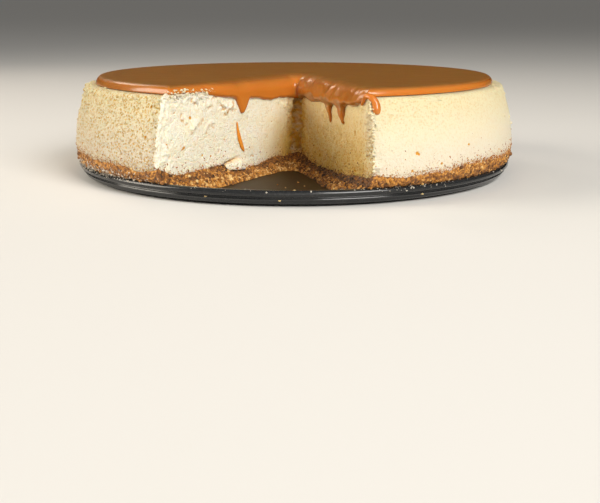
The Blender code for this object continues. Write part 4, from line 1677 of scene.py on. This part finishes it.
            # Painted shade: the right-hand sheet keeps half the skin's brown down to its drips,
            # which stay amber.
            dried_skin_and_shade.append(np.where(right, 0.5 - 0.4 * smooth(39.0, 36.5, z), 0.0))
        for share, base in ((1.0, -0.5), (0.5, -0.5), (0.0, -0.8), (0.0, -4.0)):
            places, normals, along = plan.ring(self.foot - 0.6 + base, base, 3.0 - base)
            z = self.bottom - 0.15 - share * (hang + 0.05)
            rows.append(np.column_stack([places, z]))
            dried_skin_and_shade.append(np.zeros(plan.count))
        rows = rows[::-1]
        dried_skin_and_shade = dried_skin_and_shade[::-1]
        points = np.concatenate(rows)
        skin_and_shade = np.concatenate(dried_skin_and_shade)
        faces = band_faces(len(rows), plan.count).tolist()
        faces.append(list(range(plan.count))[::-1])
        rim_start = (len(rows) - 1) * plan.count
        points, faces, skin_and_shade = self._add_top(points, faces, skin_and_shade, rim_start)
        made = make_object("caramel_layer", points, faces, {"dried_skin_and_shade": skin_and_shade})
        settle(made, SetCaramelFinish(), "caramel_topping", "caramel_topping")

    def _add_top(self, points: Array, faces: list[list[int]], skin_and_shade: Array,
                 rim_start: int) -> tuple[Array, list[list[int]], Array]:
        """Fills the level top with a gently rippled net of triangles.

        Args:
            points: Points so far.
            faces: Faces so far.
            skin_and_shade: Share of dried skin and of painted shade at each point.
            rim_start: Number of the first point of the rim's inner ring.

        Returns:
            The points, faces and shares of dried skin and painted shade, with the top added.
        """
        count = self.plan.count
        loop = points[rim_start:rim_start + count]
        ticks = np.arange(-self.top_reach, self.top_reach + 0.1, self.top_grid)
        gx, gy = np.meshgrid(ticks, ticks)
        gx = gx + (np.arange(len(ticks)) % 2)[:, None] * self.top_grid / 2.0
        inside = np.column_stack([gx.ravel(), gy.ravel()])
        radius = np.linalg.norm(inside, axis=1)
        keep = radius < self.foot - self.rim - 2.0
        for side in (Side.LEFT_CUT, Side.RIGHT_CUT):
            offset = inside - self.plan.start
            beyond = offset @ self.plan.normal[side]
            other = offset @ self.plan.along[side]
            near = (beyond > -self.rim - 8.5) & (beyond < 6.0) & (other > -14.0)
            keep &= ~near
        angle = np.degrees(np.arctan2(inside[:, 0], -inside[:, 1]))
        in_wedge = (angle > self.plan.left_cut_deg - 2.0) & (angle < self.plan.right_cut_deg + 2.0)
        keep &= ~(in_wedge & (radius > 6.0))
        inside = inside[keep]
        flat = [Vector(p[:2]) for p in loop] + [Vector(p) for p in inside]
        edges = [(i, (i + 1) % count) for i in range(count)]
        _, _, cells, origin, _, _ = delaunay_2d_cdt(flat, edges, [], 1, 1e-5)
        reach = np.linalg.norm(inside, axis=1) / self.top_reach
        height = self.top + 0.3 * (1.0 - reach ** 2)
        spots = np.column_stack([inside, np.zeros(len(inside))])
        height += 0.1 * self.spreading.at(spots * np.array([0.5, 1.0, 1.0]))
        extra = np.column_stack([inside, height])
        number = {}
        for i, source in enumerate(origin):
            first = source[0] if source else -1
            number[i] = rim_start + first if first < count else len(points) + first - count
        for cell in cells:
            faces.append([number[i] for i in cell])
        return (np.concatenate([points, extra]), faces,
                np.concatenate([skin_and_shade, np.ones(len(extra))]))


@dataclass
class CaramelRun:
    """A run of caramel that lies on the cake along a path, thick in the middle."""

    name: str
    path: tuple[tuple[float, float, float], ...]
    widths: tuple[float, ...]
    flatten: float = 0.6
    rings: int = 48
    sides: int = 14

    def build(self, outward: Array, finish: Any) -> None:
        """Sweeps a flattened round section along the path.

        Args:
            outward: Direction off the surface at the path, one for each path point.
            finish: Finish of the run.
        """
        path = np.array(self.path)
        steps = np.linalg.norm(np.diff(path, axis=0), axis=1)
        length = np.concatenate([[0.0], np.cumsum(steps)])
        at = np.linspace(0.0, length[-1], self.rings)
        centre = np.stack([np.interp(at, length, path[:, k]) for k in range(3)], axis=-1)
        for _ in range(3):
            inner = (centre[:-2] + 2.0 * centre[1:-1] + centre[2:]) / 4.0
            centre = np.concatenate([centre[:1], inner, centre[-1:]])
        width = np.interp(at, length, self.widths)
        ends = np.sqrt(np.clip(np.minimum(at, length[-1] - at) / 0.9, 0.02, 1.0))
        facing = np.stack([np.interp(at, length, outward[:, k]) for k in range(3)], axis=-1)
        facing /= np.linalg.norm(facing, axis=1, keepdims=True)
        forward = np.gradient(centre, axis=0)
        forward /= np.linalg.norm(forward, axis=1, keepdims=True)
        across = np.cross(facing, forward)
        across /= np.linalg.norm(across, axis=1, keepdims=True)
        rows = []
        for k in range(self.rings):
            angle = np.linspace(0.0, 2.0 * math.pi, self.sides, endpoint=False)
            half = width[k] * ends[k]
            rows.append(centre[k] + half * (np.cos(angle)[:, None] * across[k]
                                            + self.flatten * np.sin(angle)[:, None] * facing[k]))
        points = np.concatenate(rows)
        made = make_object(self.name, points, capped_faces(self.rings, self.sides),
                           {"dried_skin_and_shade": np.zeros(len(points))})
        settle(made, finish, "caramel_topping")


# Studio.


class SoftLight(NamedTuple):
    """A square softbox: azimuth and elevation in degrees, sizes in mm, power in watts."""

    name: str
    azimuth: float
    elevation: float
    distance: float
    size: float
    watts: float
    colour: str


@dataclass
class Studio:
    """Pale floor, soft lights and the camera at the photograph's place."""

    lens_mm: float = 60.0
    sensor_mm: float = 36.0
    clip_m: tuple[float, float] = (0.01, 50.0)
    camera_back: float = 544.77
    camera_height: float = 87.39
    camera_pitch_deg: float = 13.93
    axis_left_of_centre_px: float = 6.0
    floor_side: float = 60000.0
    lights: tuple[SoftLight, ...] = (
        SoftLight("key_softbox", 33.0, 34.0, 1900.0, 1000.0, 12.9, "fffcf7"),
        SoftLight("left_fill", -84.0, 22.0, 1500.0, 900.0, 6.3, "fff6e6"),
        SoftLight("front_fill", 2.0, 14.0, 1500.0, 900.0, 1.0, "fffaf0"),
        SoftLight("back_left_soft", -142.0, 34.0, 1300.0, 420.0, 0.85, "ffeedd"))
    aim_height: float = 25.0
    grid_spread_deg: float = 100.0
    dark_air: float = 0.006
    bright_air: float = 0.3

    def _add_light(self, given: SoftLight) -> None:
        """Adds one softbox, aimed at the middle of the cake.

        Args:
            given: Its place, size, power and colour.
        """
        light = bpy.data.lights.new(given.name, "AREA")
        light.shape = "SQUARE"
        light.size = given.size * MM
        light.spread = math.radians(self.grid_spread_deg)
        light.energy = given.watts
        light.color = srgb(given.colour)[:3]
        made = bpy.data.objects.new(given.name, light)
        turn, rise = math.radians(given.azimuth), math.radians(given.elevation)
        towards = Vector((math.sin(turn) * math.cos(rise),
                          -math.cos(turn) * math.cos(rise), math.sin(rise)))
        made.location = Vector((0.0, 0.0, self.aim_height * MM)) + towards * given.distance * MM
        made.rotation_euler = towards.to_track_quat("Z", "Y").to_euler()
        bpy.context.scene.collection.objects.link(made)

    def _dress_air(self, tree: bpy.types.NodeTree) -> None:
        """Makes the studio bright in front and above, and dark low behind the cake.

        Args:
            tree: The world's tree.
        """
        background = tree.nodes["Background"]
        background.inputs["Color"].default_value = srgb("f4f2ee")
        direction = add_node(tree, "ShaderNodeTexCoord").outputs["Generated"]
        part = add_node(tree, "ShaderNodeSeparateXYZ", {}, {"Vector": direction})
        tilt = add_node(tree, "ShaderNodeMath", {1: 0.8}, {0: part.outputs["Z"]},
                        operation="MULTIPLY")
        lean = add_node(tree, "ShaderNodeMath", {}, {0: tilt.outputs[0], 1: part.outputs["Y"]},
                        operation="SUBTRACT")
        level = add_node(tree, "ShaderNodeMapRange",
                         {"From Min": -0.85, "From Max": 1.0, "To Min": self.dark_air,
                          "To Max": self.bright_air}, {"Value": lean.outputs[0]},
                         interpolation_type="SMOOTHSTEP")
        tree.links.new(level.outputs["Result"], background.inputs["Strength"])

    def build(self) -> None:
        """Sets up the floor, world, lights and camera."""
        scene = bpy.context.scene
        scene.view_settings.view_transform = "Standard"
        half = self.floor_side / 2.0
        rows = ((-half, 0.0), (half * 0.2, 0.0), (half, half * 0.012))
        corners = np.array([[x, y, z] for y, z in rows for x in (-half, half)])
        floor = make_object("studio_floor", corners, [(0, 1, 3, 2), (2, 3, 5, 4)])
        floor.data.materials.append(PaleFloorFinish().build())
        world = bpy.data.worlds.new("studio_air")
        world.use_nodes = True
        self._dress_air(world.node_tree)
        scene.world = world
        for light in self.lights:
            self._add_light(light)
        lens = bpy.data.cameras.new("photo_camera")
        lens.sensor_width = self.sensor_mm
        lens.lens = self.lens_mm
        lens.shift_x = self.axis_left_of_centre_px / PHOTO_WIDTH_PX
        lens.clip_start, lens.clip_end = self.clip_m
        camera = bpy.data.objects.new("photo_camera", lens)
        camera.location = (0.0, -self.camera_back * MM, self.camera_height * MM)
        camera.rotation_euler = Euler((math.radians(90.0 - self.camera_pitch_deg), 0.0, 0.0))
        scene.collection.objects.link(camera)
        scene.camera = camera


def build_caramel_runs(plan: CakePlan) -> None:
    """Makes the streak on the left cut and the run that folds over the right corner.

    Args:
        plan: Outline of the cake.
    """
    caramel = SetCaramelFinish()
    along, normal = plan.along[Side.LEFT_CUT], plan.normal[Side.LEFT_CUT]
    streak = [(*(plan.start + along * s + normal * 0.45), z)
              for s, z in ((55.9, 30.4), (55.3, 26.6), (54.0, 21.8), (52.0, 17.6), (50.0, 14.8))]
    facing = np.array([[*normal, 0.1]] * len(streak))
    CaramelRun("caramel_streak", tuple(streak), (0.4, 0.75, 1.25, 1.2, 0.5)).build(
        facing, SetCaramelFinish("thin_caramel", amber="dc8c30"))
    along, normal = plan.along[Side.RIGHT_CUT], plan.normal[Side.RIGHT_CUT]
    run = [(*(plan.start + along * s + normal * 0.5), z)
           for s, z in ((100.5, 43.4), (103.0, 45.8), (105.8, 47.9))]
    facing = [(*normal, 0.5), (*normal, 0.8), (*(normal * 0.4), 1.0)]
    for theta, radius, z in ((17.9, 109.4, 47.9), (18.6, 110.6, 46.0), (18.9, 111.4, 43.8),
                             (18.8, 111.9, 41.9), (18.2, 112.2, 40.7)):
        run.append((*on_circle(math.radians(theta), radius), z))
        facing.append((*on_circle(math.radians(theta), 1.0), 0.55))
    CaramelRun("caramel_corner_run", tuple(run), (1.0, 1.3, 1.5, 1.6, 1.7, 1.9, 2.0, 1.6),
               0.8).build(np.array(facing), caramel)


@dataclass
class StrayBits:
    """Single crumbs or bits of curd, each lying where it fell."""

    name: str
    # Place in mm, radius in mm and tone from dark to pale.
    bits: tuple[tuple[float, float, float, float, float], ...]
    slot: str
    stretch: tuple[float, float, float] = (1.2, 0.9, 0.8)
    warp: Grain = Grain(0.9, 401)

    def build(self, finish: Any) -> None:
        """Makes all of them as one mesh of warped balls.

        Args:
            finish: Finish of the bits.
        """
        mesh = bpy.data.meshes.new("seed")
        shaper = bmesh.new()
        bmesh.ops.create_icosphere(shaper, subdivisions=2, radius=1.0)
        shaper.to_mesh(mesh)
        shaper.free()
        ball = np.array([v.co[:] for v in mesh.vertices])
        cells = [list(p.vertices) for p in mesh.polygons]
        bpy.data.meshes.remove(mesh)
        points, faces, tones = [], [], []
        for x, y, z, size, tone in self.bits:
            middle = np.array([x, y, z])
            swell = 1.0 + 0.4 * self.warp.plain(ball * 1.3 + middle * 7.0)
            faces += [[i + len(points) * len(ball) for i in cell] for cell in cells]
            points.append(middle + ball * swell[:, None] * size * np.array(self.stretch))
            tones.append(np.full(len(ball), tone))
        made = make_object(self.name, np.concatenate(points), faces,
                           {"tone": np.concatenate(tones)})
        settle(made, finish, self.slot)


def build_stray_bits(plan: CakePlan) -> None:
    """Lays crumbs on the tin, and bits of curd on the left cut's top and the right corner.

    Args:
        plan: Outline of the cake.
    """
    on_floor = ((0.2, -83.0, 2.3, 0.55, 1.0), (-16.0, -92.0, 2.3, 0.6, 0.95),
                (-26.5, -84.0, 2.5, 0.7, 0.8), (-24.0, -88.5, 2.2, 0.45, 1.0),
                (-4.0, -74.0, 2.1, 0.3, 0.9), (5.0, -70.0, 2.1, 0.3, 0.8),
                (2.0, -60.0, 2.1, 0.35, 0.7), (-8.0, -66.0, 2.1, 0.3, 0.6))
    on_rim = ((-20.4, 113.0, 3.9, 0.6), (-3.2, 113.1, 3.3, 0.5), (31.0, 113.0, 3.4, 0.65))
    stuck = tuple((*on_circle(math.radians(theta), radius), z, size, 1.0)
                  for theta, radius, z, size in on_rim)
    StrayBits("stray_crumbs", (*on_floor, *stuck), "crust").build(
        BiscuitCrumbFinish("biscuit_crumb_stray"))
    along, normal = plan.along[Side.LEFT_CUT], plan.normal[Side.LEFT_CUT]
    curd = []
    for k in range(EDGE_BITS):
        draw = Noise.random(np.array([[k, 3, 1], [k, 5, 2], [k, 7, 3], [k, 9, 4]]), 411)
        middle = EDGE_CLUSTERS[k % len(EDGE_CLUSTERS)]
        s = middle + 8.0 * float(draw[0]) - 4.0
        z = 46.4 + 2.6 * float(draw[1]) ** 1.7 * min(1.0, (s - 66.0) / 14.0)
        place = plan.start + along * s + normal * (0.9 - 0.5 * (z - 46.9))
        curd.append((*place, z, 0.14 + 0.62 * float(draw[2]) ** 4, 1.0))
    for k in range(CORNER_BITS):
        draw = Noise.random(np.array([[k, 2, 1], [k, 4, 2], [k, 6, 3]]), 421)
        turn = math.radians(plan.right_cut_deg + 0.7 * float(draw[0]) - 0.35)
        z = 15.0 + 28.0 * float(draw[1]) ** 0.8
        radius = 115.9 - 3.4 * smooth(26.0, 47.0, z) - 3.0 * float(draw[0] < 0.4) * draw[2]
        curd.append((*on_circle(turn, float(radius)), z, 0.22 + 0.5 * float(draw[2]) ** 2, 1.0))
    StrayBits("curd_bits", tuple(curd), "filling").build(
        BakedCurdFinish("torn_curd_bits", cut="ece0bf"))


def main() -> None:
    """Builds every piece in order."""
    logging.basicConfig(level=logging.INFO, format="%(name)s %(message)s")
    plan = CakePlan()
    line = CrustLine()
    tin = TinBase().build()
    LooseCrumbs("syrup_drops", 1500000.0, 0.18, 0.55, 81, 2, "wet").build(
        tin, "tin_base", SyrupDropFinish())
    crust = CrumbCrust(plan, line).build()
    LooseCrumbs("crust_crumbs_fine", 1900000.0, 0.25, 0.7, 41).build(
        crust, "crust", BiscuitCrumbFinish("biscuit_crumb_fine"))
    LooseCrumbs("crust_crumbs_large", 130000.0, 0.55, 1.4, 51, 2).build(
        crust, "crust", BiscuitCrumbFinish("biscuit_crumb_large"))
    LooseCrumbs("crust_residue", 1500000.0, 0.2, 0.75, 91, 1, "dust", 0.2, 0.6).build(
        crust, "crust", BiscuitCrumbFinish("biscuit_crumb_floury", dark="8d7458",
                                           brown="a48c72", golden="c9b8a2", pale="e6ddd0"))
    filling = BakedFilling(plan, line).build()
    LooseCrumbs("crumb_fringe", 5200000.0, 0.16, 0.46, 61, 1, "fringe", 0.1, 0.8).build(
        filling, "crust", BiscuitCrumbFinish("biscuit_crumb_fringe", dark="8a4a20",
                                             brown="ae6a30", golden="d09850"))
    LooseCrumbs("curd_flecks", 900000.0, 0.35, 1.1, 71, 2, "flecks").build(
        filling, "filling", BakedCurdFinish("torn_curd_flecks", cut="fbf3e2"))
    CaramelTopping(CakePlan(cut_steps=170, left_step=1.1, right_step=1.1)).build()
    build_caramel_runs(plan)
    build_stray_bits(plan)
    Studio().build()


if __name__ == "__main__":
    main()
